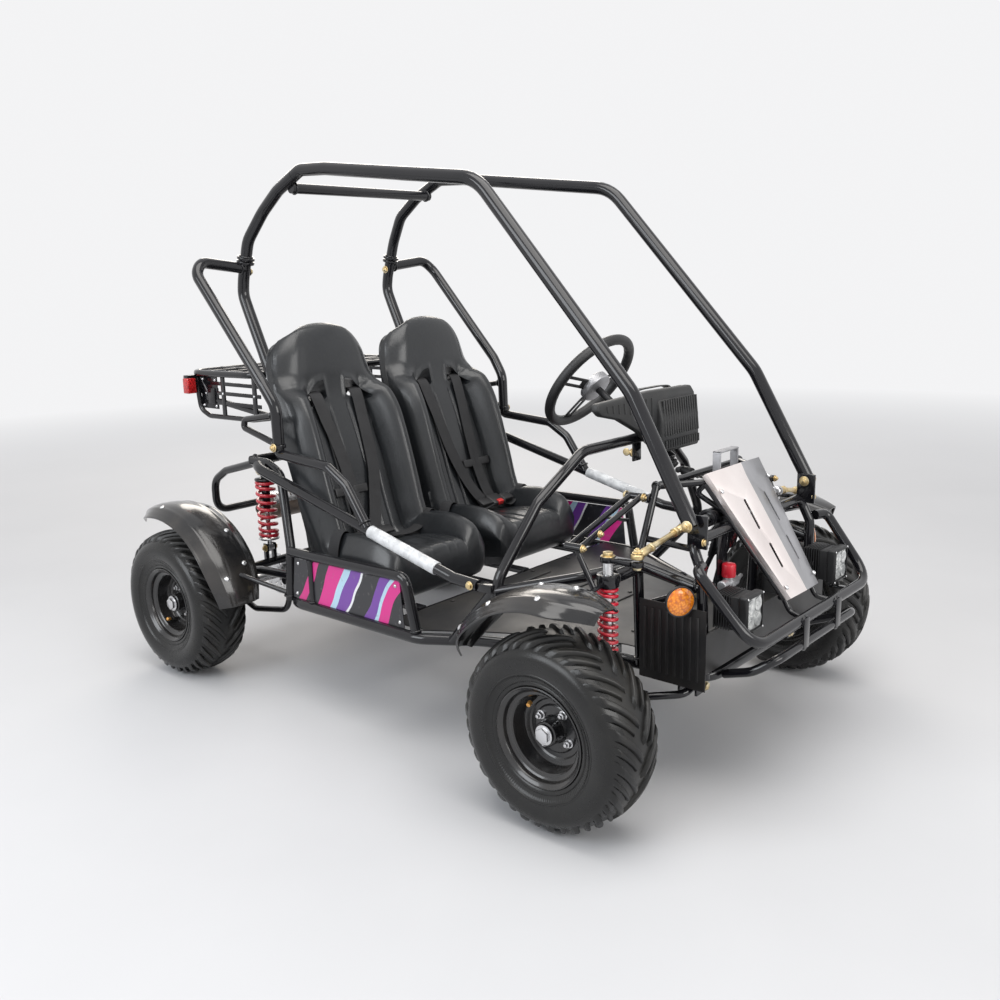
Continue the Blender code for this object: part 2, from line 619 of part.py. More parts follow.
def rear_rack():
    """Luggage loop with slats, two legs to the roll hoop and two corner lamps."""
    parts = [across([(0.288, 0.5055, 0.766), (0.288, 0.7975, 0.762)], 0.0090, bend=0.04, closed=True)]
    for y in (0.580, 0.650, 0.720):
        parts.append(tube([(-0.286, y, 0.7645), (0.286, y, 0.7645)], 0.0062))
    parts += tube_pair([(0.262, 0.7950, 0.762), (0.262, 0.745, 0.690), (0.257, 0.4465, 0.652)], 0.0085, bend=0.04)
    for side in (-1, 1):
        parts.append(side_block(side, (0.2640, 0.7840, 0.7120), (0.3100, 0.8080, 0.7560)))
    return finish(joined(parts), "rear_rack", BLACK_COAT)


def steering_wheel():
    """Padded rim, three spokes and hub plate, with the column shaft that it turns."""
    bpy.ops.mesh.primitive_torus_add(major_segments=24, minor_segments=5, major_radius=0.128, minor_radius=0.0125)
    rim = bpy.context.object
    parts = [place("rim", rim.data.copy())]
    discard(rim)
    for turn in (radians(8), radians(172), radians(270)):
        rise = Matrix.Rotation(turn, 4, "Z") @ Matrix.Rotation(radians(-10), 4, "Y")
        parts.append(block((0.015, -0.014, -0.0215), (0.131, 0.014, -0.0165), rise, Vector((0, 0, -0.006))))
    parts.append(rod((0, 0, -0.0320), (0, 0, -0.010), 0.0400, 16))
    parts.append(rod((0, 0, -COLUMN_LENGTH), (0, 0, -0.020), 0.0088))
    wheel = joined(parts)
    square_to_column = (-COLUMN_AXIS).to_track_quat("Z", "Y").to_matrix().to_4x4()
    wheel.data.transform(Matrix.Translation(WHEEL_CENTRE) @ square_to_column)
    return finish(wheel, "steering_wheel", BLACK_PLASTIC, WHEEL_CENTRE)


def intermediate_shaft():
    """Short shaft with a ball in the column's universal joint, down to the pinion tower."""
    line = (PINION_END - COLUMN_END).normalized()
    parts = [rod(COLUMN_END, PINION_END - line * 0.0005, 0.0065)]
    parts.append(rod(COLUMN_END + line * 0.0110, COLUMN_END + line * 0.0380, 0.0112))
    parts.append(rod(COLUMN_END - Vector((0.0110, 0, 0)), COLUMN_END + Vector((0.0110, 0, 0)), 0.0070))
    return finish(joined(parts), "intermediate_shaft", STEEL, COLUMN_END)


def steering_rack():
    """Rack bar with a ball socket on each end."""
    parts = [rod((-0.198, RACK_Y, RACK_Z), (0.198, RACK_Y, RACK_Z), 0.0085)]
    for side in (-1, 1):
        parts.append(rod((side * 0.188, RACK_Y, RACK_Z), (side * 0.2060, RACK_Y, RACK_Z), 0.0118))
    return finish(joined(parts), "steering_rack", STEEL, (0.0, RACK_Y, RACK_Z))


def tie_rod(name, side):
    """Zinc rod with an inner ball shank and an outer rod-end over the steering arm."""
    inner = Vector((side * 0.2120, RACK_Y, RACK_Z))
    outer = Vector((side * KINGPIN_X, STEER_ARM_Y, 0.4960))
    parts = [rod(inner, outer, 0.0058)]
    parts.append(rod(inner, inner.lerp(outer, 0.12), 0.0090))
    parts.append(rod(outer - Vector((0, 0, 0.0062)), outer + Vector((0, 0, 0.0062)), 0.0118))
    return finish(joined(parts), f"tie_rod_{name}", ZINC, (side * TIE_ROD_X, RACK_Y, RACK_Z))


def front_arm(name, side):
    """Lower A-arm: two bent legs from the floor's ears to the foot of the upright."""
    eye = (0.305, KINGPIN_Y, 0.180)
    legs = [[(ARM_PIVOT_X, -0.735, ARM_PIVOT_Z), (0.232, -0.735, 0.1955), (0.283, KINGPIN_Y - 0.006, 0.1815)],
            [(ARM_PIVOT_X, -0.530, ARM_PIVOT_Z), (0.270, -0.530, 0.1870), (0.283, KINGPIN_Y + 0.006, 0.1815)]]
    parts = [rod(Vector((side * eye[0], eye[1] - 0.018, eye[2])), Vector((side * eye[0], eye[1] + 0.018, eye[2])),
                 0.0092, 8)]
    for leg in legs:
        pivot = Vector((side * ARM_PIVOT_X, leg[0][1], ARM_PIVOT_Z))
        parts.append(rod(pivot - Vector((0, 0.0160, 0)), pivot + Vector((0, 0.0160, 0)), 0.0092))
        parts.append(tube(mirrored(leg, side), 0.0080, bend=0.012))
    parts.append(rod((side * 0.278, KINGPIN_Y, 0.1818), (side * 0.304, KINGPIN_Y, 0.180), 0.0085))
    return finish(joined(parts), f"front_arm_{name}", BLACK_COAT, (side * ARM_PIVOT_X, KINGPIN_Y, ARM_PIVOT_Z))


def front_upright(name, side):
    """C-shaped kingpin carrier: two bushes on an inboard web, with the spring's lower seat."""
    kingpin = Vector((side * KINGPIN_X, KINGPIN_Y, 0.0))
    parts = [side_block(side, (0.3240, KINGPIN_Y - 0.0150, 0.1300), (0.3342, KINGPIN_Y + 0.0150, 0.2800))]
    for low, high, radius in ((0.1280, 0.1500, 0.0180), (0.2620, 0.2860, 0.0182), (0.2840, 0.2900, 0.0235)):
        parts.append(rod(kingpin + Vector((0, 0, low)), kingpin + Vector((0, 0, high)), radius, 8))
    for offset in (-0.0215, 0.0215):
        parts.append(side_block(side, (0.2960, KINGPIN_Y + offset - 0.0020, 0.1700),
                                (0.3300, KINGPIN_Y + offset + 0.0020, 0.1900)))
    parts.append(side_block(side, (0.3225, KINGPIN_Y - 0.0235, 0.1680), (0.3330, KINGPIN_Y + 0.0235, 0.1920)))
    carrier = joined(parts)
    cut(carrier, [rod(kingpin + Vector((0, 0, 0.10)), kingpin + Vector((0, 0, 0.32)), 0.0112, 8)])
    return finish(carrier, f"front_upright_{name}", BLACK_COAT, kingpin + Vector((0, 0, AXLE_Z)))


def coil(name, centre, low, high, radius, wire, turns, origin):
    """A compression spring: a helix whose first and last three quarters of a turn lie flat."""
    steps = 6
    points = []
    total = turns * steps
    dead = 0.75
    for step in range(total + 1):
        wound = step / steps
        rise = min(max((wound - dead) / (turns - 2 * dead), 0.0), 1.0)
        lead = min(wound / dead, 1.0) + max((wound - turns + dead) / dead, 0.0)
        z = low + wire + rise * (high - low - 3.8 * wire) + 0.9 * wire * lead
        turn = 2 * pi * wound
        points.append((centre[0] + radius * cos(turn), centre[1] + radius * sin(turn), z))
    return finish(tube(points, wire, bend=0.0, resolution=0), name, RED_SPRING, origin)


def front_knuckle(name, side):
    """Kingpin shaft with its barrel, the wheel spindle, and the steering arm on top."""
    kingpin = Vector((side * KINGPIN_X, KINGPIN_Y, 0.0))
    arm_end = Vector((side * KINGPIN_X, STEER_ARM_Y, 0.0))
    parts = [rod(kingpin + Vector((0, 0, 0.1300)), kingpin + Vector((0, 0, 0.4850)), 0.0100)]
    parts.append(rod(kingpin + Vector((0, 0, 0.1530)), kingpin + Vector((0, 0, 0.2590)), 0.0146))
    for start, end, radius, sides in ((0.3520, 0.4655, 0.0136, 8), (0.4550, 0.5400, 0.0100, 8),
                                      (0.5325, 0.5420, 0.0165, 6)):
        parts.append(rod((side * start, FRONT_AXLE_Y, AXLE_Z), (side * end, FRONT_AXLE_Y, AXLE_Z), radius, sides))
    parts.append(side_block(side, (0.3395, STEER_ARM_Y, 0.4762), (0.3605, -0.6260, 0.4860)))
    parts.append(rod(arm_end + Vector((0, 0, 0.4758)), arm_end + Vector((0, 0, 0.4862)), 0.0122))
    return finish(joined(parts), f"front_knuckle_{name}", BLACK_COAT, kingpin + Vector((0, 0, AXLE_Z)))


# Wheel sections as (radius, distance outboard of the wheel's middle plane)
RIM_PROFILE = [
    (RIM_RADIUS, 0.0620), (0.0860, 0.0560), (0.0735, 0.0240), (0.0735, -0.0240), (0.0860, -0.0560),
    (RIM_RADIUS, -0.0620), (0.0820, -0.0570), (0.0700, -0.0260), (0.0700, 0.0040), (0.0260, 0.0040), (0.0250, -0.0250),
    (0.0112, -0.0250), (0.0112, 0.0400), (0.0240, 0.0400), (0.0265, 0.0100), (0.0700, 0.0100),
    (0.0820, 0.0570)]
TYRE_HALF = [(0.0885, 0.0450), (0.0985, 0.0605), (0.1400, 0.0720), (0.1800, 0.0560), (TYRE_RADIUS, 0.0260)]
TYRE_INSIDE = (0.1700, 0.0500)


def wheel_rim(name, side, y, track):
    """Stepped steel rim with a drop centre, a recessed disc and a hub tube."""
    centre = Vector((side * track / 2, y, AXLE_Z))
    return finish(turned(RIM_PROFILE, RIM_SEGMENTS, centre, side), name, BLACK_COAT, centre)


def tyre(name, side, y, track):
    """Low-pressure tyre carcass, open to the rim; its flats lie on the true tread radius."""
    radius, offset = TYRE_INSIDE
    profile = TYRE_HALF + [(reach, -aside) for reach, aside in reversed(TYRE_HALF)]
    profile += [(radius, -offset), (radius, offset)]
    widened = [(reach / cos(pi / TYRE_SEGMENTS), aside) for reach, aside in profile]
    centre = Vector((side * track / 2, y, AXLE_Z))
    made = turned(widened, TYRE_SEGMENTS, Vector(), side)
    half_step = Matrix.Rotation(pi / TYRE_SEGMENTS, 4, "X")
    made.data.transform(Matrix.Translation(centre) @ half_step)
    return finish(made, name, RUBBER, centre)


def fender(name, side, y, track, radius, start, end, widths):
    """Crowned mudguard: an arc round the wheel, drawn in towards both tips."""
    rows = []
    steps = 8
    first, last = widths
    for step in range(steps + 1):
        part = step / steps
        turn = start + (end - start) * part
        drawn_in = min(1.0, first + (1 - first) * part * 4, last + (1 - last) * (1 - part) * 4)
        row = []
        for aside in (-1.0, -0.62, 0.0, 0.62, 1.0):
            reach = radius - 0.019 * aside ** 2
            row.append((side * (track / 2 + aside * TYRE_WIDTH / 2 * drawn_in),
                        y - cos(turn) * reach, AXLE_Z + sin(turn) * reach))
        rows.append(row)
    return finish(shell(rows, 0.0036, offset=-side), name, BLACK_PLASTIC)


def swing_arm():
    """Rear subframe: two sides with skid bars, cross tubes, engine bed and axle carriers."""
    parts = [cross_tube(0.332, 0.3450, 0.2660, 0.0105)]
    parts.append(cross_tube(0.332, 0.3850, 0.2490, 0.0108))
    parts.append(cross_tube(0.332, SHOCK_Y, 0.2485, 0.0112))
    for side in (-1, 1):
        edge = side * SWING_HALF_WIDTH
        parts.append(rod((side * 0.3184, SWING_PIVOT_Y, SWING_PIVOT_Z), (side * 0.3434, SWING_PIVOT_Y, SWING_PIVOT_Z),
                         0.0125, 8))
        parts.append(tube([(edge, SWING_PIVOT_Y, SWING_PIVOT_Z), (edge, 0.480, 0.2600), (edge, 0.575, 0.2430),
                           (edge, 0.618, 0.200)], 0.0112, bend=0.06))
        parts.append(tube([(edge, 0.345, 0.264), (edge, 0.385, 0.170), (edge, 0.520, 0.146), (edge, 0.606, 0.176)],
                          0.0080, bend=0.05))
        parts.append(rod((side * 0.3130, REAR_AXLE_Y, AXLE_Z), (side * 0.3470, REAR_AXLE_Y, AXLE_Z), 0.0310))
        for inner in (0.2255, 0.2505):
            parts.append(side_block(side, (inner, SHOCK_Y - 0.010, 0.2500), (inner + 0.004, SHOCK_Y + 0.010, 0.3020)))
    arm = joined(parts)
    cut(arm, [rod((-0.36, REAR_AXLE_Y, AXLE_Z), (0.36, REAR_AXLE_Y, AXLE_Z), 0.0140, 8)])
    return finish(arm, "swing_arm", BLACK_COAT, SWING_PIVOT)


def sprocket_outline(teeth, radius, depth):
    """Three points for each tooth: its two tip corners and the root."""
    outline = []
    for tooth in range(teeth):
        for part, reach in ((0.0, radius), (0.30, radius), (0.65, radius - depth)):
            turn = 2 * pi * (tooth + part) / teeth
            outline.append((reach * cos(turn), reach * sin(turn)))
    return outline


def rear_axle():
    """Live axle with stepped ends, wheel nuts, chain sprocket and brake disc."""
    parts = []
    for start, end, radius, sides in ((-0.5200, 0.5200, 0.0100, 8), (-0.4450, 0.4450, 0.0125, 8),
                                      (-0.5240, -0.5150, 0.0165, 6), (0.5150, 0.5240, 0.0165, 6),
                                      (0.1610, 0.1780, 0.0220, 8), (-0.1760, -0.1720, 0.0600, 16)):
        parts.append(rod((start, REAR_AXLE_Y, AXLE_Z), (end, REAR_AXLE_Y, AXLE_Z), radius, sides))
    across_axle = Matrix.Translation((0.174, REAR_AXLE_Y, AXLE_Z)) @ Matrix.Rotation(pi / 2, 4, "Y")
    parts.append(plate(sprocket_outline(16, 0.0620, 0.006), 0.0040, across_axle))
    return finish(joined(parts), "rear_axle", STEEL, (0.0, REAR_AXLE_Y, AXLE_Z))


def engine():
    """Single-cylinder engine with its covers, cooling fins, drive sprocket and silencer."""
    parts = [block((-0.095, 0.378, 0.2602), (0.085, 0.570, 0.275)),
             block((-0.095, 0.390, 0.270), (0.085, 0.545, 0.360))]
    for start, end, y, z, radius in ((-0.125, -0.090, 0.465, 0.3220, 0.0600), (0.080, 0.130, 0.455, 0.3120, 0.0460),
                                     (0.120, 0.178, 0.455, 0.3120, 0.0100), (0.1720, 0.1760, 0.455, 0.3120, 0.0230)):
        parts.append(rod((start, y, z), (end, y, z), radius, 8))
    parts.append(block((-0.045, 0.425, 0.350), (0.045, 0.510, 0.470)))
    for index in range(5):
        low = 0.370 + index * 0.0175
        parts.append(block((-0.064, 0.405, low), (0.064, 0.530, low + 0.0055)))
    parts.append(block((-0.052, 0.415, 0.462), (0.052, 0.520, 0.486)))
    parts.append(tube([(0.0, 0.500, 0.430), (0.0, 0.580, 0.4240), (0.0, 0.635, 0.3950), (0.0, 0.690, 0.370)],
                      0.0110, bend=0.04))
    parts.append(rod((-0.150, 0.700, 0.3650), (0.090, 0.700, 0.3650), 0.0380, 16))
    parts.append(rod((-0.172, 0.700, 0.3650), (-0.140, 0.700, 0.3650), 0.0120))
    return finish(joined(parts), "engine", CAST, SWING_PIVOT)


def rear_shock(name, side):
    """Damper body with its top eye and spring seat, bored for the rod below."""
    centre = Vector((side * SHOCK_X, SHOCK_Y, 0.0))
    parts = [rod(centre + Vector((0, 0, 0.4000)), centre + Vector((0, 0, 0.5020)), 0.0114)]
    parts.append(rod(centre + Vector((0, 0, 0.4780)), centre + Vector((0, 0, 0.4840)), 0.0280))
    parts.append(rod(centre + Vector((-0.0110, 0, SHOCK_TOP)), centre + Vector((0.0110, 0, SHOCK_TOP)), 0.0115))
    body = cut(joined(parts), [rod(centre + Vector((0, 0, 0.38)), centre + Vector((0, 0, 0.4900)), 0.0076, 8)])
    return finish(body, f"rear_shock_{name}", BLACK_COAT, centre + Vector((0, 0, SHOCK_TOP)))


def rear_shock_rod(name, side):
    """Damper rod with the lower spring seat and the eye on the swing arm."""
    centre = Vector((side * SHOCK_X, SHOCK_Y, 0.0))
    parts = [rod(centre + Vector((0, 0, 0.2950)), centre + Vector((0, 0, 0.4500)), 0.0062)]
    parts.append(rod(centre + Vector((0, 0, 0.3140)), centre + Vector((0, 0, 0.3200)), 0.0280))
    parts.append(rod(centre + Vector((-0.0100, 0, SHOCK_FOOT)), centre + Vector((0.0100, 0, SHOCK_FOOT)), 0.0105))
    return finish(joined(parts), f"rear_shock_rod_{name}", STEEL, centre + Vector((0, 0, SHOCK_FOOT)))


def pedal(name, x):
    """Floor-hinged pedal: pivot sleeve, bent arm and foot pad."""
    parts = [rod((x - 0.018, PEDAL_Y, PEDAL_Z), (x + 0.018, PEDAL_Y, PEDAL_Z), 0.0080)]
    parts.append(tube([(x, PEDAL_Y, PEDAL_Z), (x, PEDAL_Y - 0.015, 0.340), (x, PEDAL_Y - 0.040, 0.395)], 0.0060,
                      bend=0.05))
    parts.append(block((x - 0.026, -0.606, 0.372), (x + 0.026, -0.598, 0.438), Matrix.Rotation(radians(14), 4, "X")))
    return finish(joined(parts), name, BLACK_COAT, (x, PEDAL_Y, PEDAL_Z))


# Clear the file's default objects before the kart is built
for item in list(bpy.data.objects):
    bpy.data.objects.remove(item, do_unlink=True)
KART = new_collection("racing_kart")

floor_frame()
rear_frame()
front_frame()
floor_pan()
roof_hoop()
front_bumper()
nose_cowl()
dash_pod()
key_switch()
rear_rack()
steering_wheel()
intermediate_shaft()
steering_rack()
swing_arm()
rear_axle()
engine()
pedal("throttle_pedal", THROTTLE_X)
pedal("brake_pedal", BRAKE_X)

for NAME, SIDE in SIDES.items():
    cage_leg(NAME, SIDE)
    cage_rail(NAME, SIDE)
    side_guard(NAME, SIDE)
    headlight(NAME, SIDE)
    turn_signal(NAME, SIDE)
    seat(NAME, SIDE)
    side_panel(NAME, SIDE)
    tie_rod(NAME, SIDE)
    front_arm(NAME, SIDE)
    front_upright(NAME, SIDE)
    front_knuckle(NAME, SIDE)
    rear_shock(NAME, SIDE)
    rear_shock_rod(NAME, SIDE)
    wheel_rim(f"front_rim_{NAME}", SIDE, FRONT_AXLE_Y, FRONT_TRACK)
    wheel_rim(f"rear_rim_{NAME}", SIDE, REAR_AXLE_Y, REAR_TRACK)
    tyre(f"front_tyre_{NAME}", SIDE, FRONT_AXLE_Y, FRONT_TRACK)
    tyre(f"rear_tyre_{NAME}", SIDE, REAR_AXLE_Y, REAR_TRACK)
    coil(f"front_spring_{NAME}", (SIDE * KINGPIN_X, KINGPIN_Y), 0.2905, 0.4276, 0.0168, 0.0030, 5,
         (SIDE * KINGPIN_X, KINGPIN_Y, 0.4280))
    coil(f"rear_spring_{NAME}", (SIDE * SHOCK_X, SHOCK_Y), 0.3205, 0.4775, 0.0232, 0.0042, 5,
         (SIDE * SHOCK_X, SHOCK_Y, SHOCK_TOP))
    fender(f"front_fender_{NAME}", SIDE, FRONT_AXLE_Y, FRONT_TRACK, 0.266, radians(62), radians(157), (0.55, 0.30))
    fender(f"rear_fender_{NAME}", SIDE, REAR_AXLE_Y, REAR_TRACK, 0.262, radians(8), radians(134), (0.75, 0.35))

# Pieces that are carried by others hang from them, and all stand under one empty. The empty
# puts the origin on the ground in the middle of the overall length.
CARRIERS = {"intermediate_shaft": "steering_wheel", "engine": "swing_arm", "rear_axle": "swing_arm"}
for NAME in SIDES:
    CARRIERS[f"tie_rod_{NAME}"] = "steering_rack"
    CARRIERS[f"front_knuckle_{NAME}"] = f"front_upright_{NAME}"
    CARRIERS[f"front_rim_{NAME}"] = f"front_knuckle_{NAME}"
    CARRIERS[f"front_tyre_{NAME}"] = f"front_rim_{NAME}"
    CARRIERS[f"rear_rim_{NAME}"] = "rear_axle"
    CARRIERS[f"rear_tyre_{NAME}"] = f"rear_rim_{NAME}"
    CARRIERS[f"rear_shock_rod_{NAME}"] = f"rear_shock_{NAME}"
    CARRIERS[f"rear_spring_{NAME}"] = f"rear_shock_{NAME}"
WHOLE = place("racing_kart", None)
bpy.context.view_layer.update()
PLACES = {piece.name: piece.matrix_world.copy() for piece in KART.objects}
for PIECE in KART.objects:
    if PIECE != WHOLE:
        PIECE.parent = bpy.data.objects.get(CARRIERS.get(PIECE.name, "racing_kart"))
        PIECE.matrix_parent_inverse = PLACES[PIECE.parent.name].inverted()
WHOLE.location = (0.0, CENTRE_SHIFT, 0.0)
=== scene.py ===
import bpy
from math import atan2, cos, exp, hypot, pi, radians, sin, sqrt, tan
from mathutils import Matrix, Vector


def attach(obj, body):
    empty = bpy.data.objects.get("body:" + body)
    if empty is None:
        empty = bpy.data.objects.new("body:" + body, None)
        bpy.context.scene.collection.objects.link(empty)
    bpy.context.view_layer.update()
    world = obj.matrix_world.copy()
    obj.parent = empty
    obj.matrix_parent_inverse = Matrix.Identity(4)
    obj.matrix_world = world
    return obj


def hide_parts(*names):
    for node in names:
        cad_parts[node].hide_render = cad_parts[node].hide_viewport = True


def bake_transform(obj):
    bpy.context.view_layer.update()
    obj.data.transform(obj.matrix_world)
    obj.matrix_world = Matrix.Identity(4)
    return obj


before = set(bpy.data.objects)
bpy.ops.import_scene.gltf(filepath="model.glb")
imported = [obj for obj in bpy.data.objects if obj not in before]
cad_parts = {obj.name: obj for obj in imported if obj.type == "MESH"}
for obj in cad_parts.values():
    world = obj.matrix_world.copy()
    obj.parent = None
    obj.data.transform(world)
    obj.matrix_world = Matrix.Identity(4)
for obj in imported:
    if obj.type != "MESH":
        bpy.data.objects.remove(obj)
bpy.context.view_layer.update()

# The view
# The camera stands at the kart's right front corner at the photograph's distance and angle.
# Lengths in this file are drawn from the ground point midway between the axles, MIDDLE
# behind which the model's own origin lies.
MIDDLE = Vector((0.0, 0.05, 0.0))
eye = Vector((-1.8617, -1.6773, 1.0046)) + MIDDLE
yaw, pitch, roll = radians(40.815), radians(-12.531), radians(-1.402)
gaze = Vector((cos(pitch) * cos(yaw), cos(pitch) * sin(yaw), sin(pitch)))
level = gaze.cross(Vector((0, 0, 1))).normalized()
upright = level.cross(gaze)
right = level * cos(roll) + upright * sin(roll)
above = upright * cos(roll) - level * sin(roll)
bpy.ops.object.camera_add()
camera = bpy.context.object
camera.name = "view_camera"
camera.data.lens = 36.459
camera.data.sensor_width = 36.0
camera.data.clip_end = 60.0
camera.matrix_world = Matrix(((right.x, above.x, -gaze.x, eye.x), (right.y, above.y, -gaze.y, eye.y),
    (right.z, above.z, -gaze.z, eye.z), (0, 0, 0, 1)))
bpy.context.scene.camera = camera
bpy.context.scene.view_settings.view_transform = "Standard"


# Shader notes
# A material is built from one Principled shader and a few texture nodes. Tap wraps a socket,
# so that a mask can be written as sums and products; Coat makes the nodes.
class Tap:
    def __init__(self, tree, socket):
        self.tree = tree
        self.socket = socket

    def math(self, kind, first, second=0.0):
        node = self.tree.nodes.new("ShaderNodeMath")
        node.operation = kind
        for index, value in enumerate((first, second)):
            if isinstance(value, Tap):
                self.tree.links.new(value.socket, node.inputs[index])
            else:
                node.inputs[index].default_value = value
        return Tap(self.tree, node.outputs[0])

    def __add__(self, other):
        return self.math("ADD", self, other)

    def __radd__(self, other):
        return self.math("ADD", other, self)

    def __sub__(self, other):
        return self.math("SUBTRACT", self, other)

    def __rsub__(self, other):
        return self.math("SUBTRACT", other, self)

    def __mul__(self, other):
        return self.math("MULTIPLY", self, other)

    def __rmul__(self, other):
        return self.math("MULTIPLY", other, self)

    def __truediv__(self, other):
        return self.math("DIVIDE", self, other)

    def __pow__(self, other):
        return self.math("POWER", self, other)

    def over(self, limit):
        return self.math("GREATER_THAN", self, limit)

    def under(self, limit):
        return self.math("LESS_THAN", self, limit)

    def wave(self):
        return self.math("SINE", self)


class Coat:
    def __init__(self, name, slot, colour, roughness, metallic=0.0):
        self.material = bpy.data.materials.new(name)
        self.material.use_nodes = True
        self.tree = self.material.node_tree
        self.shader = self.tree.nodes["Principled BSDF"]
        self.colour = (*colour, 1.0)
        self.slot = slot
        self.set("Base Color", self.colour)
        self.set("Roughness", roughness)
        self.set("Metallic", metallic)
        self.place = self.add("TexCoord", {}, "Object")

    def set(self, socket, value):
        self.shader.inputs[socket].default_value = value

    def add(self, kind, settings, output=0, **sockets):
        node = self.tree.nodes.new("ShaderNode" + kind)
        for name, value in settings.items():
            if name == "stops":
                ramp = node.color_ramp
                while len(ramp.elements) < len(value):
                    ramp.elements.new(1.0)
                for stop, (position, grey) in zip(ramp.elements, value):
                    stop.position = position
                    stop.color = (*grey, 1.0) if isinstance(grey, tuple) else (grey, grey, grey, 1.0)
            else:
                setattr(node, name, value)
        for name, value in sockets.items():
            socket = node.inputs[int(name[1:])] if name[0] == "_" else node.inputs[name]
            if isinstance(value, Tap):
                self.tree.links.new(value.socket, socket)
            else:
                socket.default_value = value
        return Tap(self.tree, node.outputs[output])

    def noise(self, scale, detail=3.0, stretch=None):
        where = self.place if stretch is None else self.add("Mapping", {}, Vector=self.place,
            Scale=stretch)
        return self.add("TexNoise", {}, Vector=where, Scale=scale, Detail=detail)

    def cells(self, scale, feature="F1"):
        return self.add("TexVoronoi", {"feature": feature}, Vector=self.place, Scale=scale)

    def axis(self, index, where=None):
        return self.add("SeparateXYZ", {}, index, Vector=self.place if where is None else where)

    def ramp(self, mask, *stops):
        return self.add("ValToRGB", {"stops": stops}, Fac=mask)

    def mix(self, mask, first, second):
        return self.add("Mix", {"data_type": "RGBA"}, 2, _0=mask, _6=first, _7=second)

    def feed(self, socket, tap):
        self.tree.links.new(tap.socket, self.shader.inputs[socket])

    def bump(self, height, strength, distance):
        made = self.add("Bump", {}, Height=height, Strength=strength, Distance=distance)
        self.feed("Normal", made)

    def worn(self, scale, detail, change, base):
        """The roughness wanders from place to place above a base value."""
        self.feed("Roughness", self.noise(scale, detail) * change + base)

    def grained(self, scale, detail, strength, distance):
        self.bump(self.noise(scale, detail), strength, distance)

    def dusted(self, dust, amount):
        """Greyish dust lies in patches on what faces up."""
        facing = self.axis(2, self.add("NewGeometry", {}, "Normal"))
        patches = self.ramp(self.noise(9.0, 6.0), (0.4, 0.0), (0.75, 1.0))
        mask = patches * (facing * 0.5 + 0.5) * amount
        self.feed("Base Color", self.mix(mask, self.colour, (*dust, 1.0)))


# The studio
# A pale sweep stands under and behind the kart, lit by four large soft lamps.
world = bpy.data.worlds.new("studio_air")
world.use_nodes = True
bpy.context.scene.world = world
air = world.node_tree
sky = air.nodes["Background"]
sky.inputs["Color"].default_value = (0.8, 0.82, 0.86, 1.0)
sky.inputs["Strength"].default_value = 0.55
backdrop = (0.9, 0.9, 0.91, 1.0)
white = air.nodes.new("ShaderNodeBackground")
white.inputs["Color"].default_value = backdrop
both = air.nodes.new("ShaderNodeMixShader")


def seen_rays(tree):
    """A mask of the rays that look at a thing straight, in a mirror or through glass."""
    path = tree.nodes.new("ShaderNodeLightPath")
    mask = Tap(tree, path.outputs["Is Camera Ray"])
    for name in ("Is Glossy Ray", "Is Transmission Ray"):
        mask = mask.math("MAXIMUM", mask, Tap(tree, path.outputs[name]))
    return mask


air.links.new(seen_rays(air).socket, both.inputs[0])
air.links.new(sky.outputs[0], both.inputs[1])
air.links.new(white.outputs[0], both.inputs[2])
air.links.new(both.outputs[0], air.nodes["World Output"].inputs[0])
for name, at, size, power, tint in (("lamp_over", (-0.6, -0.8, 3.6), (3.0, 3.0), 95.0, (1.0, 0.98, 0.95)),
        ("lamp_near", (-3.6, 0.6, 2.2), (2.6, 1.8), 70.0, (0.92, 0.96, 1.0)),
        ("lamp_front", (-0.4, -4.2, 1.9), (2.6, 1.6), 62.0, (1.0, 0.99, 0.97)),
        ("lamp_rear", (2.6, 3.0, 2.6), (2.8, 1.4), 60.0, (1.0, 0.93, 0.84))):
    bpy.ops.object.light_add(type="AREA", location=at)
    lamp = bpy.context.object
    lamp.name = name
    lamp.data.shape = "RECTANGLE"
    lamp.data.size = size[0]
    lamp.data.size_y = size[1]
    lamp.data.energy = power
    lamp.data.color = tint
    lamp.rotation_euler = (Vector((0, 0, 0.5)) - Vector(at)).to_track_quat("-Z", "Y").to_euler()
bpy.ops.object.select_all(action="DESELECT")
bpy.ops.mesh.primitive_plane_add(size=60.0, location=(0, 0, -0.0005))
ground = bpy.context.object
ground.name = "studio_floor"
floor_coat = Coat("pale_studio_floor", "", (0.6, 0.6, 0.61), 0.62)
cloudy = floor_coat.noise(1.6, 5.0)
floor_coat.feed("Base Color", floor_coat.mix(cloudy, (0.58, 0.58, 0.59, 1.0), (0.65, 0.65, 0.66, 1.0)))
from_kart = floor_coat.add("VectorMath", {"operation": "LENGTH"}, 1, _0=floor_coat.place)
far_off = floor_coat.ramp(from_kart / 9.0, (0.2, 0.0), (0.75, 1.0))
glow = floor_coat.tree.nodes.new("ShaderNodeEmission")
glow.inputs["Color"].default_value = backdrop
fade = floor_coat.tree.nodes.new("ShaderNodeMixShader")
floor_coat.tree.links.new((seen_rays(floor_coat.tree) * far_off).socket, fade.inputs[0])
floor_coat.tree.links.new(floor_coat.shader.outputs[0], fade.inputs[1])
floor_coat.tree.links.new(glow.outputs[0], fade.inputs[2])
floor_coat.tree.links.new(fade.outputs[0], floor_coat.tree.nodes["Material Output"].inputs[0])
ground.data.materials.append(floor_coat.material)

# Floor frame
# The kart stands on a loop of bent steel tube with cross tubes, all welded and powder
# coated in gloss black. It carries the side pods and the seat rails.
SEAT_ASIDE = 0.188


def clear_hands():
    if bpy.context.object and bpy.context.object.mode != "OBJECT":
        bpy.ops.object.mode_set(mode="OBJECT")
    bpy.ops.object.select_all(action="DESELECT")


